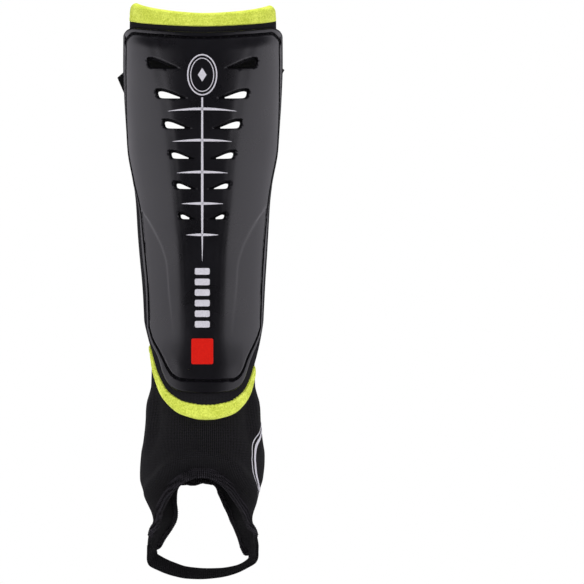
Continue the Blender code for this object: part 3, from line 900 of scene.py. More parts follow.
def capsules(name, centres, along, out, length, radius, sides=8, rings=7):
    """Capsules at centres: circles across the run, whose radius follows a rounded profile.

    Each end is closed by three faces, so a circle has eight points."""
    at = np.linspace(-1, 1, rings)
    share = rounded((1 - np.abs(at)) * length / 2, radius * 2)
    share[[0, -1]] = 0.15
    turn = np.linspace(0, 2 * math.pi, sides, endpoint=False)
    side = unit(np.cross(along, out))
    ring = side[:, None, None] * np.cos(turn)[:, None] + out[:, None, None] * np.sin(turn)[:, None]
    spine = centres[:, None] + along[:, None] * (at * length / 2)[:, None]
    points = spine[:, :, None] + ring * (share * radius)[:, None, None]
    one = grid_faces(rings, sides, closed=True)
    ends = np.array([[0, 1, 2, 3], [0, 3, 4, 7], [4, 5, 6, 7]])
    one = np.concatenate((one, ends[:, ::-1], ends + (rings - 1) * sides))
    size = rings * sides
    faces = (np.arange(len(centres)) * size)[:, None, None] + one
    return piece(name, points.reshape(-1, 3), faces.reshape(-1, 4), THREAD, "edge_knit")


STITCH_PITCH = 0.00625
STITCH_LENGTH = 0.0050
STITCH_RADIUS = 0.00062
STITCH_STANDS = 0.55


def sew_shell():
    """Stitches every STITCH_PITCH along the groove, each lying along it."""
    line = even(GROOVE, STITCH_PITCH / 8)
    half_width = leg_sizes(line[:, 1])[0]
    x = half_width * np.sin(line[:, 0] / half_width)
    path = onto_shell(x, line[:, 1], STITCH_RADIUS * STITCH_STANDS)
    at = np.arange(0, len(path) - 4, 8)
    along = unit(path[(at + 3) % len(path)] - path[at - 3])
    outward = path[at] * (1, 1, 0)
    out = unit(outward - (outward * along).sum(1)[:, None] * along)
    return capsules("shell_stitching", path[at], along, out, STITCH_LENGTH, STITCH_RADIUS)


sew_shell()

# %% The silver spine and its cross bars
FILM = 0.00012
SPINE_TOP, SPINE_BOTTOM = 0.0841, -0.0381
SPINE_HALF = ((0.0, 0.00065), (0.3, 0.0008), (0.6, 0.0009), (0.85, 0.0006), (1.0, 0.00012))
# One row for each bar: its height, half its length, and how much lower its tips hang.
CROSS_BARS = (
    (0.0755, 0.0257, 0.0017),
    (0.0521, 0.0222, 0.0010),
    (0.0283, 0.0190, 0.0007),
    (0.0048, 0.0155, 0.0002),
    (-0.0186, 0.0121, 0.0001),
)
BAR_HALF = 0.0009


def film(grid_x, grid_z):
    """Both skins of a print over a grid of x and z, just above the shell's face."""
    x, z = grid_x.ravel(), grid_z.ravel()
    faces = grid_faces(*grid_x.shape)
    return onto_shell(x, z, FILM), onto_shell(x, z, 0.00002), faces


def printed(name, films, finish):
    """One piece from several films."""
    outer = np.concatenate([f[0] for f in films])
    inner = np.concatenate([f[1] for f in films])
    starts = np.cumsum([0] + [len(f[0]) for f in films[:-1]])
    faces = np.concatenate([f[2] + s for f, s in zip(films, starts)])
    return piece(name, *two_skins(outer, inner, faces), finish, None)


def spine_films():
    """A long tapered stroke, and five strokes across it that thin out towards their tips."""
    down = np.linspace(0, 1, 180)[:, None]
    sides = np.linspace(-1, 1, 5)
    width = smooth(SPINE_HALF, down) * sides
    films = [film(width, SPINE_TOP + (SPINE_BOTTOM - SPINE_TOP) * down + 0 * width)]
    for z, half, droop in CROSS_BARS:
        along = np.linspace(-1, 1, 90)[:, None]
        breadth = BAR_HALF * (1 - np.abs(along) ** 1.7) + 0.0001
        films.append(film(half * along + 0 * sides, z - droop * along**2 + breadth * sides))
    return films


printed("spine_print", spine_films(), SILVER_INK)

# %% Plain ovals, plain blocks and a plain panel
OVAL_Z = 0.1010
OVAL_RINGS = ((0.0108, 0.0150, 0.00050), (0.0086, 0.0124, 0.00032))
LOZENGE = (0.0032, 0.0050)
BLOCK_COUNT = 6
BLOCKS_TOP, BLOCKS_BOTTOM = -0.0420, -0.0895
BLOCK_HALF_WIDTH = 0.0056
BLOCK_SHARE = 0.62
PANEL_HALF_WIDTH = 0.0082
PANEL_HALF_HEIGHT = 0.0096
PANEL_Z = -0.1058
CORNER = 0.0012


def ring_film(centre_z, half_x, half_z, half_line):
    """A thin ellipse: its line runs round, and its width lies across."""
    turn = np.linspace(0, 2 * math.pi, 97)[:, None]
    across = np.linspace(-1, 1, 3) * half_line
    return film((half_x + across) * np.sin(turn), centre_z + (half_z + across) * np.cos(turn))


def block_film(centre_z, half_x, half_z, rows=24, columns=18):
    """A rectangle whose rows draw in by a quarter circle towards its top and bottom."""
    z = eased(rows, -half_z, half_z)[:, None]
    drawn_in = CORNER * (1 - rounded(half_z - np.abs(z), CORNER))
    x = np.linspace(-1, 1, columns) * (half_x - drawn_in)
    return film(x, centre_z + z + 0 * x)


def lozenge_film(centre_z, half_x, half_z):
    """A lozenge whose rows narrow in a straight line towards its top and bottom."""
    z = np.linspace(-1, 1, 15)[:, None]
    x = np.linspace(-1, 1, 7) * half_x * (1.02 - np.abs(z))
    return film(x, centre_z + z * half_z + 0 * x)


printed(
    "oval_print",
    [ring_film(OVAL_Z, *ring) for ring in OVAL_RINGS] + [lozenge_film(OVAL_Z, *LOZENGE)],
    SILVER_INK,
)
block_pitch = (BLOCKS_TOP - BLOCKS_BOTTOM) / BLOCK_COUNT
printed(
    "block_print",
    [
        block_film(BLOCKS_TOP - (i + 0.5) * block_pitch, BLOCK_HALF_WIDTH,
                   block_pitch * BLOCK_SHARE / 2)
        for i in range(BLOCK_COUNT)
    ],
    SILVER_INK,
)
printed("panel_print", [block_film(PANEL_Z, PANEL_HALF_WIDTH, PANEL_HALF_HEIGHT)], RED_INK)

# %% [markdown]
# ## The liner
# The liner is foam with jersey on both sides, a little bigger than the shell. It shows as a
# black strip over the shell, a wider band under it, and as the whole inside of the guard.
# Its face swells softly where nothing presses on it, and is drawn in along its sewn edges.

# %% The liner's edges
LINER_BOTTOM_EDGE = (
    (0.00, 0.000),
    (0.06, 0.001),
    (0.18, 0.019),
    (0.285, 0.042),
    (0.38, 0.089),
    (0.50, 0.172),
    (0.616, 0.336),
    (0.70, 0.505),
    (0.79, 0.675),
    (0.895, 0.862),
    (1.00, 1.000),
)
LINER_REACH = ((-0.08, 72.0), (0.00, 72.5), (0.15, 76.0), (0.34, 80.0), (0.44, 86.0), (1.10, 86.0))
LINER_ROUND = 0.0016
SWELL_CAP = 0.0013
SWELL_NEAR_HOLE = 0.006
PINNED_NEAR_HOLE = 0.0035
HEM_HEIGHT, HEM_INSET, HEM_REACH = 0.0007, 0.0042, 0.0007
UNDER_BINDING = 0.0014
LINER_LEVEL_FROM, LINER_LEVEL_TO = 0.019, 0.170


def liner_top(share):
    """Z of the liner's upper edge: highest at its ends."""
    return TOP_Z - LINER_TOP_DIP * (1 - np.abs(share) ** 1.6) + LINER_STANDS_ABOVE


def liner_bottom(share):
    """Z of the liner's lower edge."""
    rise = smooth(LINER_BOTTOM_EDGE, skewed(share)) * LINER_RISE
    return TOP_Z - SHELL_HEIGHT - LINER_HANGS_BELOW + rise


def liner_angle(share, z):
    """The angle round the leg, from the front, of a share of the way to the liner's side."""
    return np.radians(smooth(LINER_REACH, level_of(z))) * share


def liner_grid(columns=141):
    """Shares round, and depths down from TOP_Z, level where the holes are. It reaches a little
    way under both bindings."""
    share = eased(columns, -1, 1)
    first = -LINER_STANDS_ABOVE - UNDER_BINDING
    last = SHELL_HEIGHT + LINER_HANGS_BELOW + UNDER_BINDING
    fine_ends = ((first, 0.0, 0.0006), *vent_stretches(0.0, LINER_LEVEL_TO, 0.0006, 0.0022),
                 (LINER_LEVEL_TO, last - 0.006, 0.0024), (last - 0.006, last, 0.0006))
    down = spaced(fine_ends)[:, None]
    above = np.clip(1 - (down - first) / (LINER_LEVEL_FROM - first), 0, 1)
    below = np.clip((down - LINER_LEVEL_TO) / (last - LINER_LEVEL_TO), 0, 1)
    top_dip = LINER_TOP_DIP * (1 - np.abs(share) ** 1.6)
    rise = smooth(LINER_BOTTOM_EDGE, skewed(share)) * LINER_RISE
    z = TOP_Z - down - top_dip * above + rise * below
    half_width = leg_sizes(z)[0]
    x = (half_width - LINER_FACE) * np.sin(liner_angle(share, z))
    upper = TOP_Z + LINER_STANDS_ABOVE + UNDER_BINDING - top_dip - z
    lower = z - liner_bottom(share) + UNDER_BINDING
    edge = np.minimum(np.minimum(upper, lower), (1 - np.abs(share)) * half_width * 1.4)
    return x * liner_drawn(share, z), z, edge, share


def swell_by_cloth(columns=41, rows=81):
    """Lets the liner's back cloth swell under the foam, and returns how far it moved.

    A coarse closed copy is made. Its front is held by the shell and its rim is sewn, so both
    are pinned, like the cloth round the holes. Air pressure stands in for the foam."""
    share, down = np.linspace(-1, 1, columns), np.linspace(0, 1, rows)[:, None]
    z = liner_top(share) * (1 - down) + liner_bottom(share) * down
    x = (leg_sizes(z)[0] - LINER_FACE) * np.sin(liner_angle(share, z))
    outer, inner = front_wall(x.ravel(), z.ravel(), -LINER_FACE, -LINER_BACK)
    points, faces = two_skins(outer, inner, grid_faces(rows, columns))
    mesh = mesh_from("liner_cloth", points, faces[:, ::-1])
    cloth = shown("liner_cloth", mesh)
    rim = np.ones((rows, columns), bool)
    rim[2:-2, 2:-2] = False
    flat = np.stack((x.ravel(), z.ravel()), axis=-1)
    near_hole = np.min([to_path(flat, hole)[0] for hole in HOLES], axis=0) < PINNED_NEAR_HOLE
    pinned = np.concatenate((np.ones(len(outer), bool), rim.ravel() | near_hole))
    sewn_points = cloth.vertex_groups.new(name="sewn")
    sewn_points.add(np.flatnonzero(pinned).tolist(), 1.0, "REPLACE")
    settings = cloth.modifiers.new("cloth", "CLOTH").settings
    settings.vertex_group_mass = "sewn"
    settings.use_pressure = True
    settings.uniform_pressure_force = 4
    settings.tension_stiffness = settings.compression_stiffness = 15
    settings.effector_weights.gravity = 0
    for moment in range(1, 21):
        bpy.context.scene.frame_set(moment)
    result = cloth.evaluated_get(bpy.context.evaluated_depsgraph_get()).data
    moved = np.empty(len(points) * 3, np.float32)
    result.vertices.foreach_get("co", moved)
    bpy.context.scene.frame_set(1)
    bpy.data.objects.remove(cloth)
    bpy.data.meshes.remove(mesh)
    swell = np.linalg.norm(moved.reshape(-1, 3) - points, axis=1)[len(outer) :]
    swell = np.minimum(swell, SWELL_CAP).reshape(rows, columns)
    print("the liner's cloth moved up to", round(float(swell.max()) * 1000, 2), "mm")
    return swell


def read_grid(values, share, down):
    """Reads a coarse grid of values in between its points, by the four nearest ones."""
    rows, columns = values.shape
    at_row, at_column = np.clip(down, 0, 1) * (rows - 1), (share + 1) / 2 * (columns - 1)
    row = np.minimum(at_row.astype(int), rows - 2)
    column = np.minimum(at_column.astype(int), columns - 2)
    r, c = at_row - row, at_column - column
    upper = values[row, column] * (1 - c) + values[row, column + 1] * c
    lower = values[row + 1, column] * (1 - c) + values[row + 1, column + 1] * c
    return upper * (1 - r) + lower * r


def make_liner():
    """Its back skin takes the swell of the cloth, and each edge is round."""
    x, z, edge, share = liner_grid()
    faces = grid_faces(*x.shape)
    down = (liner_top(share) - z) / (liner_top(share) - liner_bottom(share))
    share = share + 0 * z
    swell = read_grid(swell_by_cloth(), share, down).ravel()
    edge = edge.ravel()
    x, z, faces, gap = cut_through(x.ravel(), z.ravel(), faces, HOLES, 0.0009)
    drawn = FOAM_WALL / 2 * (1 - rounded(np.minimum(edge, gap + 0.0002), LINER_ROUND))
    swell = swell * rounded(gap, SWELL_NEAR_HOLE)
    hem = HEM_HEIGHT * bell(edge, HEM_INSET, HEM_REACH)
    outer, inner = front_wall(x, z, -LINER_FACE - drawn, -LINER_BACK + drawn - swell + hem)
    laid = np.stack((*(lay_flat(x, z).T * 1000), 0 * x), axis=-1)
    outer, faces, inner, laid = used_only(outer, faces, inner, laid)
    points, faces = two_skins(outer, inner, faces)
    laid = np.vstack((laid, laid))
    return piece("padded_liner", points, faces, LINER_KNIT, "foam_cloth", laid, 50)


liner = make_liner()
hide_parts("foam_liner")

# %% [markdown]
# ## The lime bindings
# A strip of brushed knit is folded over the liner's edge and sewn through. The needle holes
# are 7 mm apart, and the cloth puffs up between them and the fold. The band's middle surface
# is a grid: along the edge, and away from it. Its thickness follows a quarter circle at the
# fold.

# %% Bindings
BINDING_HALF = FOAM_WALL / 2 + BINDING_PROUD
BINDING_MIDDLE = BINDING_PROUD - LINER_FACE - BINDING_HALF
HOLE_PITCH = 0.0070
HOLE_DENT = 0.0013
HOLE_SIZE = 0.0006
SEAM_DENT = 0.00018
SEWN_ROUND = 0.0009
PUFF = 0.0004
THINNEST = 0.0002
TOP_CORNER = 0.0040
TOP_TILT = 0.0009
TOP_LEANS_IN = 0.035


def sewn(along, up, line):
    """Dents where the needle went through, and a faint groove that joins them."""
    from_hole = (along / HOLE_PITCH + 0.5) % 1 - 0.5
    up_from = (up - line) / HOLE_SIZE
    dent = HOLE_DENT * bell(from_hole * HOLE_PITCH, 0, HOLE_SIZE) * bell(up_from, 0, 1)
    return dent + SEAM_DENT * bell(up_from, 0, 2)


def binding_half(along, up, breadth, line, fold_round, ends):
    """Half the thickness: round at the fold, at the sewn edge and at both ends."""
    fold = rounded(breadth - up, fold_round)
    sewn_edge = rounded(up + THINNEST, SEWN_ROUND)
    puff = PUFF * np.sin(np.clip(up / breadth, 0, 1) * math.pi)
    half = BINDING_HALF * fold * sewn_edge + puff - sewn(along, up, line)
    return np.maximum(half * ends, THINNEST)


TOP_LINE, TOP_FOLD = 0.0043, 0.0040
LOW_LINE, LOW_FOLD = 0.0030, 0.0036


def top_binding(stations=330, lines=30):
    """Up from the liner's upper edge, taller at its two ends, with round upper corners."""
    share = eased(stations, -1, 1)
    t = eased(lines)[:, None]
    height = TOP_BINDING_HEIGHT + TOP_BINDING_HORNS * np.abs(share) ** 1.6 - TOP_TILT * share
    start = liner_top(share) + CLEARANCE
    from_end = (1 - np.abs(share)) * HALF_WIDTH * 1.25
    cut = TOP_CORNER * (1 - rounded(from_end, TOP_CORNER))
    up = t * (height - cut)
    z = start + up
    angle = liner_angle(share, z) * (1 - TOP_LEANS_IN * t)
    middle = round_leg(angle, z, BINDING_MIDDLE)
    along = angle * HALF_WIDTH
    ends = rounded(from_end + 0.0004, 0.0022)
    half = binding_half(along, up, height - cut, TOP_LINE, TOP_FOLD, ends)
    return band("top_lime_binding", middle, half, LIME_CLOTH, "binding_cloth")


def liner_edge(share, out):
    """The liner's lower edge, at a distance out from the leg form."""
    z = liner_bottom(share)
    point = round_leg(liner_angle(share, z), z, out)
    point[..., 0] *= liner_drawn(share, z)
    return point


LEFT_REACH, RIGHT_REACH = 0.77, 0.72
LEFT_NARROWS, RIGHT_NARROWS = 0.62, 0.52


def bottom_binding(stations=330, lines=26):
    """Down and out from the liner's lower edge, narrowing to a tip at each side."""
    share = eased(stations, -LEFT_REACH, RIGHT_REACH)
    reach = np.where(share < 0, LEFT_REACH, RIGHT_REACH)
    edge = liner_edge(share, BINDING_MIDDLE)
    tangent = unit(np.gradient(edge, axis=0))
    normal = unit(liner_edge(share, BINDING_MIDDLE + 0.001) - edge)
    outward = unit(np.cross(tangent, normal))
    outward = outward * np.where(outward[:, 2:] > 0, -1, 1)
    away = np.abs(share) / reach
    from_end = (1 - away) * reach * HALF_WIDTH * 1.7
    narrowed = np.where(share < 0, LEFT_NARROWS * away**1.6, RIGHT_NARROWS * away**3)
    breadth = BOTTOM_BINDING_HEIGHT * (1 - narrowed) * rounded(from_end + 0.0006, 0.006)
    up = eased(lines)[:, None] * breadth
    scallop = 0.0002 * np.cos(np.arange(stations) * 0.9) * (1 - eased(lines)[:, None])
    middle = edge + outward * (CLEARANCE + up + scallop)[..., None]
    walked = walked_along(edge)
    along = (walked - walked[-1] / 2) + 0 * up
    ends = rounded(from_end + 0.0004, 0.003)
    half = binding_half(along, up, breadth, LOW_LINE, LOW_FOLD, ends)
    return band("bottom_lime_binding", middle, half, LIME_CLOTH, "binding_cloth")


upper = top_binding()
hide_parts("top_binding")
lower = bottom_binding()
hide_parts("bottom_binding")

# %% [markdown]
# ## The calf strap
# A band of woven elastic, sewn to the liner inside both edges, goes round the back of the
# calf. Its short end stands out at the left of the shell, where it is folded to be gripped,
# and a smaller fold of it shows at the right. Each end is a leaf: an upper and a lower edge
# that run out from the strap and meet at a tip.

# %% Strap and tab
STRAP_STARTS = 62
RIPPLE, RIPPLE_PITCH = 0.00018, 0.0028
THINNEST_STRAP = 0.0003


def rear_strap(stations=300, lines=44):
    """An ellipse round the calf: inside the liner at its ends, deeper behind."""
    angle = np.radians(np.linspace(STRAP_STARTS, 360 - STRAP_STARTS, stations))
    across = eased(lines, -0.5, 0.5)[:, None] * STRAP_WIDTH
    z = TOP_Z - STRAP_DROP + across
    ripple = RIPPLE * np.cos(across / RIPPLE_PITCH * 2 * math.pi)
    out = -(LINER_BACK + CLEARANCE) - STRAP_WALL / 2 + 0 * angle + 0 * across
    middle = round_leg(angle + 0 * across, z + 0 * angle, out, STRAP_BACK_DEPTH)
    edge = rounded(STRAP_WIDTH / 2 - np.abs(across) + 0.0002, 0.0012)
    half = STRAP_WALL / 2 * edge + ripple + 0 * angle
    return band("calf_strap", middle, np.maximum(half, THINNEST_STRAP), ELASTIC, "elastic")


# One row for each place from the root to the tip of an end: how far above and below the tip
# its two edges lie there, as shares of how far it stands out. A tip is a little open, because
# a grid that closes to a single point has no normal there.
TAB_HANGS = 1.55
TIP_OPEN = 0.02
TAB_EDGES = ((0.0, 0.62, -1.50), (0.35, 0.60, -TAB_HANGS), (1.0, TIP_OPEN, -TIP_OPEN))
FOLD_EDGES = ((0.0, 0.26, -0.62), (0.72, 0.22, -0.56), (1.0, TIP_OPEN, -TIP_OPEN))
FOLD_REACH = 0.0095
FOLD_TIP_Z = 0.1062


def strap_end(name, side, root_x, y, reach_by, tip_z, edges, reaches=30, lines=26):
    """Out from the strap: between an upper and a lower edge that meet at the tip."""
    reach = eased(reaches)
    places, tops, lows = np.array(edges).T
    top, bottom = (np.interp(reach, places, rows) * reach_by for rows in (tops, lows))
    t = eased(lines)[:, None]
    x = side * (root_x + reach * reach_by) + 0 * t
    depth = y + 0.0008 * np.sin(reach * 2.6) + 0 * t
    middle = np.stack((x, depth, tip_z + bottom * (1 - t) + top * t), axis=-1)
    edge = np.minimum(np.minimum(t, 1 - t) * (top - bottom), (1 - reach) * reach_by + 0 * t)
    half = TAB_WALL / 2 * rounded(edge + 0.0002, 0.0008)
    return band(name, middle, half, ELASTIC, "elastic")


strap = rear_strap()
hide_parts("rear_strap")
tab_low, tab_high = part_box("strap_tab")
tab_y = (tab_low.y + tab_high.y) / 2
tab_tip_z = tab_low.z + TAB_HANGS * TAB_REACH
tab = strap_end("strap_tab_end", -1, -tab_high.x, tab_y, TAB_REACH, tab_tip_z, TAB_EDGES)
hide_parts("strap_tab")
strap_end("strap_fold_end", 1, -tab_high.x, tab_y, FOLD_REACH, FOLD_TIP_Z, FOLD_EDGES)

# %% [markdown]
# ## The ankle sock
# A knitted tube goes behind the liner, swells over the pads at the ankle bones, and is cut
# away in an arch over the foot and again at the heel, which leaves a limb at each side. The
# grid runs round the ankle and down from the top to that lower edge.

# %% The sock's form
SOCK_LEVELS = (
    (0.110, 0.908, 0.86, 1.06),
    (0.148, 0.900, 0.87, 1.08),
    (0.183, 0.877, 0.88, 1.10),
    (0.218, 0.840, 0.89, 1.11),
    (0.253, 0.794, 0.90, 1.12),
    (0.284, 0.815, 0.92, 1.13),
    (0.326, 0.877, 0.95, 1.13),
    (0.392, 0.945, 0.97, 1.13),
    (0.436, 0.989, 0.98, 1.12),
    (0.493, 1.000, 0.98, 1.10),
    (0.545, 0.994, 0.97, 1.08),
    (0.600, 0.962, 0.955, 1.06),
    (0.700, 0.925, 0.950, 1.02),
    (0.737, 0.921, 0.940, 1.00),
    (0.772, 0.906, 0.925, 0.99),
    (0.810, 0.866, 0.900, 0.985),
    (0.846, 0.836, 0.880, 0.98),
    (0.936, 0.826, 0.850, 0.975),
    (1.000, 0.815, 0.830, 0.97),
)
SOCK_EDGE = (
    (0, 0.4870),
    (5, 0.4862),
    (18, 0.466),
    (31, 0.423),
    (49, 0.349),
    (66, 0.297),
    (80, 0.256),
    (88, 0.215),
    (92, 0.170),
    (95, LIMB_SHARE),
    (118, LIMB_SHARE),
    (124, 0.135),
    (131, 0.172),
    (139, 0.218),
    (143, 0.262),
    (147, 0.325),
    (152, 0.385),
    (158, 0.410),
    (180, 0.413),
)
# At the right the heel opening is wider to the front view, with a straighter edge.
RIGHT_EDGE = (
    (95, LIMB_SHARE),
    (106, LIMB_SHARE),
    (120, 0.112),
    (128, 0.101),
    (134, 0.128),
    (138, 0.180),
    (144, 0.256),
    (156, 0.325),
    (164, 0.393),
    (169, 0.410),
    (180, 0.413),
)
ARCH_END = 90.0
HEEL_START, HEEL_END = 124.0, 240.0
# Where the liner stops covering the sock: in degrees from the front, and by height.
LINER_ENDS_ROUND, LINER_ENDS_BELOW = (56, 18), (1.075, 0.125)
# Above the limbs the sock lies a little to the left.
ASKEW, ASKEW_AT, ASKEW_REACH = -0.0015, 0.40, 0.10


def behind_liner(point, angle):
    """Draws a point of the sock in towards the leg where the liner lies over it."""
    inset = LINER_BACK + BINDING_PROUD + CLEARANCE
    half_width, depth, widest = leg_sizes(point[..., 2])
    half_width, depth = half_width - inset, depth - inset
    share = np.hypot(point[..., 0] / half_width, np.minimum(point[..., 1] + widest, 0) / depth)
    turned = np.abs(np.degrees(np.arctan2(np.sin(angle), np.cos(angle))))
    height = level_of(point[..., 2])
    covers = (1 - ramp(turned, *LINER_ENDS_ROUND)) * (1 - ramp(height, *LINER_ENDS_BELOW))
    pull = 1 + (1 / np.maximum(share, 1) - 1) * covers
    centre = np.stack((0 * widest, -widest, point[..., 2]), axis=-1)
    return centre + (point - centre) * pull[..., None]


def sock_point(angle, height, out=0.0):
    """An ellipse at each level: half-width, and its own depth in front and behind."""
    half = ANKLE_WIDTH / 2
    width, front, behind = (smooth(SOCK_LEVELS, height, column) for column in (1, 2, 3))
    depth = np.where(np.cos(angle) > 0, front, behind)
    x = (width * half + out) * np.sin(angle)
    y = -(depth * half + out) * np.cos(angle)
    x = x + ASKEW * bell(height, ASKEW_AT, ASKEW_REACH)
    free = np.stack(np.broadcast_arrays(x, y, SOLE_Z + height * SOCK_HEIGHT), axis=-1)
    return behind_liner(free, angle)


def sock_edge(degrees):
    """The share of the sock's height at which its lower edge lies."""
    turned = (degrees + 180) % 360 - 180
    return np.where(turned > 98, smooth(RIGHT_EDGE, turned), smooth(SOCK_EDGE, np.abs(turned)))


# %% The sock itself
PUCKER, PUCKER_ABOVE, PUCKER_REACH = 0.0040, 0.0130, 0.0065
FOLD, FOLD_ABOVE, FOLD_DIES = -0.0030, 0.0020, 0.0042
CREASE, CREASE_REACH = 0.00035, 0.03
ARCH_SIDES = (58, 30)


def sock_relief(degrees, height):
    """A soft roll over the arch with a fold beneath it, and faint creases down the sides."""
    above = (height - sock_edge(degrees)) * SOCK_HEIGHT
    in_front = 1 - ramp(np.abs((degrees + 180) % 360 - 180), *ARCH_SIDES)
    roll = PUCKER * bell(above, PUCKER_ABOVE, PUCKER_REACH)
    fold = FOLD * bell(above, FOLD_ABOVE, FOLD_DIES)
    creases = CREASE * np.sin(np.radians(degrees) * 9 + height * 14)
    return (roll + fold) * in_front + creases * bell(above, 0, CREASE_REACH)


def ankle_sock(columns=288, rows=118):
    """A grid from the top down to the lower edge, closed on itself, whose wall thins at both."""
    degrees = np.linspace(-180, 180, columns, endpoint=False)
    down = eased(rows)[:, None]
    height = 1 - down + sock_edge(degrees) * down
    outer = sock_point(np.radians(degrees) + 0 * height, height, sock_relief(degrees, height))
    out = normals(outer, closed=True)
    from_edge = np.minimum(down, 1 - down) * (1 - sock_edge(degrees)) * SOCK_HEIGHT
    half = SOCK_WALL / 2 * np.maximum(rounded(from_edge, 0.0012), 0.15)
    middle = outer - out * SOCK_WALL / 2
    return band("ankle_sock_knit", middle, half, SOCK_KNIT, "sock_knit", closed=True)


sock = ankle_sock()
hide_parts("ankle_sock")

# %% [markdown]
# ## Overlocked edges
# The sock's lower edge is overlocked: thread wraps it in slanting ribs. The ribs are real
# relief here, because they are coarse enough to show against the light.

# %% Arch and heel edges
RIB_PITCH = 0.0015
RIB_HEIGHT = 0.0006
HEEL_EDGE_WIDTH = 0.0052
HEEL_OVERLAP = 0.0040
HEEL_CRUMPLE = 0.0014
ARCH_OVERLAP = 0.0008


def overlocked(name, low, high, width, overlap, stations, crumple=0.0, lines=14):
    """A band along the sock's lower edge whose thickness rises and falls in slanting ribs.

    A crumpled one also waves up and down and in and out: two sines of unlike length."""
    degrees = np.linspace(low, high, stations)
    angle, level = np.radians(degrees), sock_edge(degrees)
    edge = sock_point(angle, level)
    along = unit(np.gradient(edge, axis=0))
    beside = sock_point(angle + 0.01, level) - edge
    above = sock_point(angle, level + 0.01) - edge
    normal = unit(np.cross(beside, above))
    outward = unit(np.cross(along, normal))
    t = eased(lines)[:, None]
    start = edge - normal * SOCK_WALL / 2 + outward * (CLEARANCE - overlap)
    middle = start + outward * (width * t)[..., None]
    # Its upper line follows the sock's edge into the fold, so that no gap shows from the side.
    middle = middle + normal * (sock_relief(degrees, level) * (1 - t) ** 2)[..., None]
    walked = walked_along(edge)
    slack = crumple * step((math.cos(math.radians(150)) - np.cos(angle)) / 0.1)
    waves = np.sin(walked / 0.0042) + 0.6 * np.sin(walked / 0.0019 + 2 * t)
    middle = middle + (normal * 0.8 + outward * 0.5) * (slack * waves)[..., None]
    ribs_at = np.cos((walked / RIB_PITCH + 0.9 * t) * 2 * math.pi)
    from_side = np.minimum(t, 1 - t) * width
    from_end = np.minimum(walked, walked[-1] - walked)
    full = rounded(from_side + 0.0002, 0.0014) * rounded(from_end + 0.0003, 0.001)
    ribs = RIB_HEIGHT * ribs_at * rounded(from_side, 0.0014)
    half = np.maximum(ARCH_BINDING_WALL / 2 * full + ribs, THINNEST)
    return band(name, middle, half, EDGE_KNIT, "edge_knit")


arch_width = ARCH_BINDING_WIDTH + ARCH_OVERLAP
arch = overlocked("arch_overlock", -ARCH_END, ARCH_END, arch_width, ARCH_OVERLAP, 620)
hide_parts("arch_binding")
overlocked("heel_overlock", HEEL_START, HEEL_END, HEEL_EDGE_WIDTH, HEEL_OVERLAP, 420,
           HEEL_CRUMPLE)

# %% The stirrup strap
STIRRUP_ROUTE = (
    (-0.915, 1.00),
    (-0.918, 0.86),
    (-0.868, 0.67),
    (-0.700, 0.51),
    (-0.475, 0.35),
    (-0.260, 0.24),
    (0.000, 0.205),
    (0.260, 0.235),
    (0.500, 0.33),
    (0.700, 0.49),
    (0.840, 0.65),
    (0.900, 0.86),
    (0.905, 1.00),
)
# Its tilt in radians, by the share of the way from the left limb to the right one.
STIRRUP_TILTS = (
    (0.00, 0.05),
    (0.14, 0.30),
    (0.28, 0.36),
    (0.40, 0.29),
    (0.50, 0.24),
    (0.62, 0.17),
    (0.72, 0.12),
    (0.86, 0.08),
    (1.00, 0.05),
)
STIRRUP_LOWERED = 0.0012
STIRRUP_TUCKED = 0.0036
STIRRUP_DRAWN_IN = 0.038
STIRRUP_HEM, STIRRUP_HEM_INSET = 0.00035, 0.0035
LIMB_DEPTH = 0.0503


def stirrup(stations=240, lines=34):
    """From one limb to the other under the foot, tilted so that its front edge is lower.

    Its ends bend round with the limbs, x = route * sqrt(1 - (y / depth)^2), and go up inside
    them."""
    places = np.linspace(0, 1, len(STIRRUP_ROUTE))
    rows = [(place, *point) for place, point in zip(places, STIRRUP_ROUTE)]
    along = np.linspace(0, 1, stations)
    x = smooth(rows, along, 1) * ANKLE_WIDTH / 2
    rise = smooth(rows, along, 2)
    lowered = STIRRUP_LOWERED * (1 - ramp(rise, 0.2, 0.6))
    z = SOLE_Z + rise * LIMB_BOTTOM - CLEARANCE - lowered
    z = z + STIRRUP_TUCKED * ramp(rise, 0.8, 0.2)
    x = x * (1 - STIRRUP_DRAWN_IN * ramp(rise, 0.6, 0.3))
    tilt = smooth(STIRRUP_TILTS, along)
    t = eased(lines, -0.5, 0.5)[:, None]
    across = t * STIRRUP_WIDTH
    y = STIRRUP_BEHIND + across * np.cos(tilt)
    bend = ramp(rise, 0.35, 0.4) * (1 - np.sqrt(1 - (np.maximum(y, 0) / LIMB_DEPTH) ** 2))
    middle = np.stack((x * (1 - bend), y, z + across * np.sin(tilt)), axis=-1)
    edge = rounded(STIRRUP_WIDTH / 2 - np.abs(across) + 0.0002, 0.0013)
    hem = STIRRUP_HEM * bell(np.abs(across), STIRRUP_WIDTH / 2 - STIRRUP_HEM_INSET, HEM_REACH)
    half = STIRRUP_WALL / 2 * edge - hem + 0 * along
    return band("stirrup_knit", middle, np.maximum(half, THINNEST_STRAP), SOCK_KNIT, "sock_knit")


stirrup_strap = stirrup()
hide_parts("stirrup_strap")

# %% The print on the ankle pad
ANKLE_PRINT_Z = -0.1875
ANKLE_LEAN = 420.0
ANKLE_RINGS = ((37.0, 0.0275, 0.9, 0.0004), (32.0, 0.0235, 2.6, 0.0012))


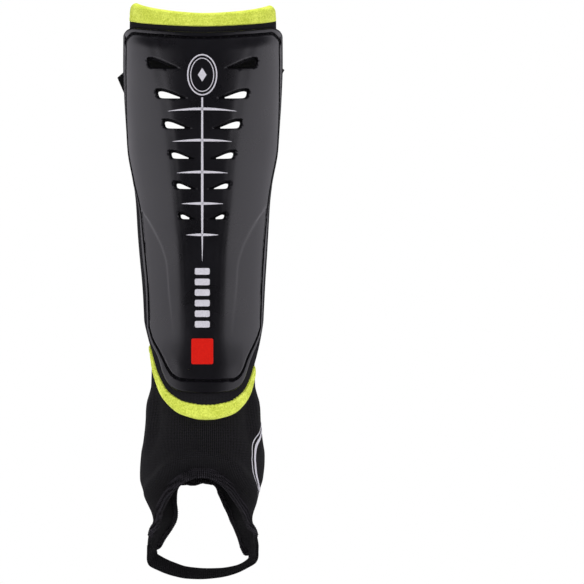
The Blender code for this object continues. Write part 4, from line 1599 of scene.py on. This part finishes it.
def ankle_print():
    """Two plain ovals on the right side of the sock, wider to the eye when seen from there."""
    outer, inner, faces, start = [], [], [], 0
    for half_degrees, half_z, line_degrees, line_z in ANKLE_RINGS:
        turn = np.linspace(0, 2 * math.pi, 121)[:, None]
        across = np.linspace(-1, 1, 5)
        z = ANKLE_PRINT_Z + (half_z + across * line_z) * np.cos(turn)
        leaning = ANKLE_LEAN * np.maximum(z - ANKLE_PRINT_Z, 0)
        degrees = 90 + leaning + (half_degrees + across * line_degrees / 2) * np.sin(turn)
        height = (z - SOLE_Z) / SOCK_HEIGHT
        relief = sock_relief(degrees, height)
        for skin, lift in ((outer, 0.0003), (inner, 0.00005)):
            skin.append(sock_point(np.radians(degrees), height, relief + lift).reshape(-1, 3))
        faces.append(grid_faces(*degrees.shape) + start)
        start += degrees.size
    skins = two_skins(np.concatenate(outer), np.concatenate(inner), np.concatenate(faces))
    return piece("ankle_oval_print", *skins, SILVER_INK, None)


ankle_print()

# %% [markdown]
# ## Light, floor and camera
# Two tall soft panels stand at the sides. A satin surface mirrors them where it turns
# sideways, which is what draws the form of a black object, and leaves its middle dark. Three
# more panels, high in front, low in front and behind, light the cloth, and a satin surface
# doesn't mirror them. The camera sees a white world beyond the floor, which lights little.

# %% Stage and lights
FLOOR_GAP = 0.030
FLOOR_REACH = 1.15
FLOOR_BEHIND = 0.57


def stage_floor():
    """A pale flat floor just under the guard. It ends behind it before the front view's edge."""
    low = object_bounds()[0].z - FLOOR_GAP
    x, y = np.meshgrid(np.linspace(-FLOOR_REACH, FLOOR_REACH, 9),
                       np.linspace(-FLOOR_REACH, FLOOR_BEHIND, 9))
    grid = np.stack((x, y, low + 0 * x), axis=-1).reshape(-1, 3)
    mesh = mesh_from("studio_floor", grid, grid_faces(9, 9)[:, ::-1])
    paper = {"Roughness": 0.95, "Base Color": linear("F4F4F4")}
    mesh.materials.append(new_material("pale_paper", paper)[0])
    floor = shown("studio_floor", mesh)
    floor.visible_glossy = False
    return floor


def panel_light(name, place, aim, width, height, radiance, at_side):
    """A soft panel. Its power is its radiance times pi times its area.

    Those at the sides are a little cool, and only they are mirrored by satin surfaces."""
    data = bpy.data.lights.new(name, "AREA")
    data.shape = "RECTANGLE"
    data.size, data.size_y = width, height
    data.energy = radiance * math.pi * width * height
    data.color = COOL if at_side else (1.0, 1.0, 1.0)
    made = shown(name, data)
    made.location = place
    back = unit(np.array(place, float) - np.array(aim, float))
    right = unit(np.cross((0.0, 0.0, 1.0), back))
    up = np.cross(back, right)
    made.rotation_euler = Matrix(np.stack((right, up, back), axis=-1).tolist()).to_euler()
    made.visible_camera = False
    made.visible_glossy = at_side
    return made


stage_floor()
COOL = (1.0, 0.97, 1.05)
PANELS = (
    ("left_panel", (-1.25, -0.55, -0.21), (0, -0.55, -0.21), 3.5, 1.1, 1.55, True),
    ("right_panel", (1.25, -0.55, -0.21), (0, -0.55, -0.21), 3.5, 1.1, 1.55, True),
    ("front_panel", (0.0, -1.3, 2.0), (0, 0, -0.06), 1.6, 1.0, 3.8, False),
    ("low_panel", (0.0, -1.5, 0.42), (0, 0, -0.12), 1.2, 0.8, 2.2, False),
    ("rear_panel", (0.0, 0.9, 2.1), (0, 0, -0.06), 1.8, 1.0, 13.0, False),
)
for row in PANELS:
    panel_light(*row)

world = bpy.data.worlds.new("studio")
bpy.context.scene.world = world
world.use_nodes = True
sky = world.node_tree
dim = feed(sky.nodes["Background"], {"Color": (1, 1, 1, 1), "Strength": 0.05})
pale = add(sky, "ShaderNodeBackground", {"Color": (1, 1, 1, 1), "Strength": 1.0})
seen = add(sky, "ShaderNodeLightPath", {}).outputs["Is Camera Ray"]
both = add(sky, "ShaderNodeMixShader", {0: seen, 1: dim.outputs[0], 2: pale.outputs[0]})
feed(sky.nodes["World Output"], {"Surface": both.outputs[0]})
bpy.context.scene.view_settings.view_transform = "Standard"

# %% Camera
MM_PER_PIXEL = 0.75
PHOTO_SIDE = 584
GUARD_PIXEL = 202.5
TOP_PIXEL_Z = 0.1576
FRONT_Y = -0.036
LENS = 400.0
SENSOR = 36.0


def aim_camera():
    """Level, straight at the guard's front, with the guard at the left of the frame."""
    data = bpy.data.cameras.new("camera")
    data.lens = LENS
    data.sensor_width = SENSOR
    frame_width = PHOTO_SIDE * MM_PER_PIXEL / 1000
    made = shown("camera", data)
    x = (PHOTO_SIDE / 2 - GUARD_PIXEL) * MM_PER_PIXEL / 1000
    z = TOP_PIXEL_Z - PHOTO_SIDE / 2 * MM_PER_PIXEL / 1000
    made.location = (x, FRONT_Y - frame_width * LENS / SENSOR, z)
    made.rotation_euler = (math.pi / 2, 0, 0)
    bpy.context.scene.camera = made
    return made


camera = aim_camera()
print("camera at", np.round(camera.location, 3).tolist())
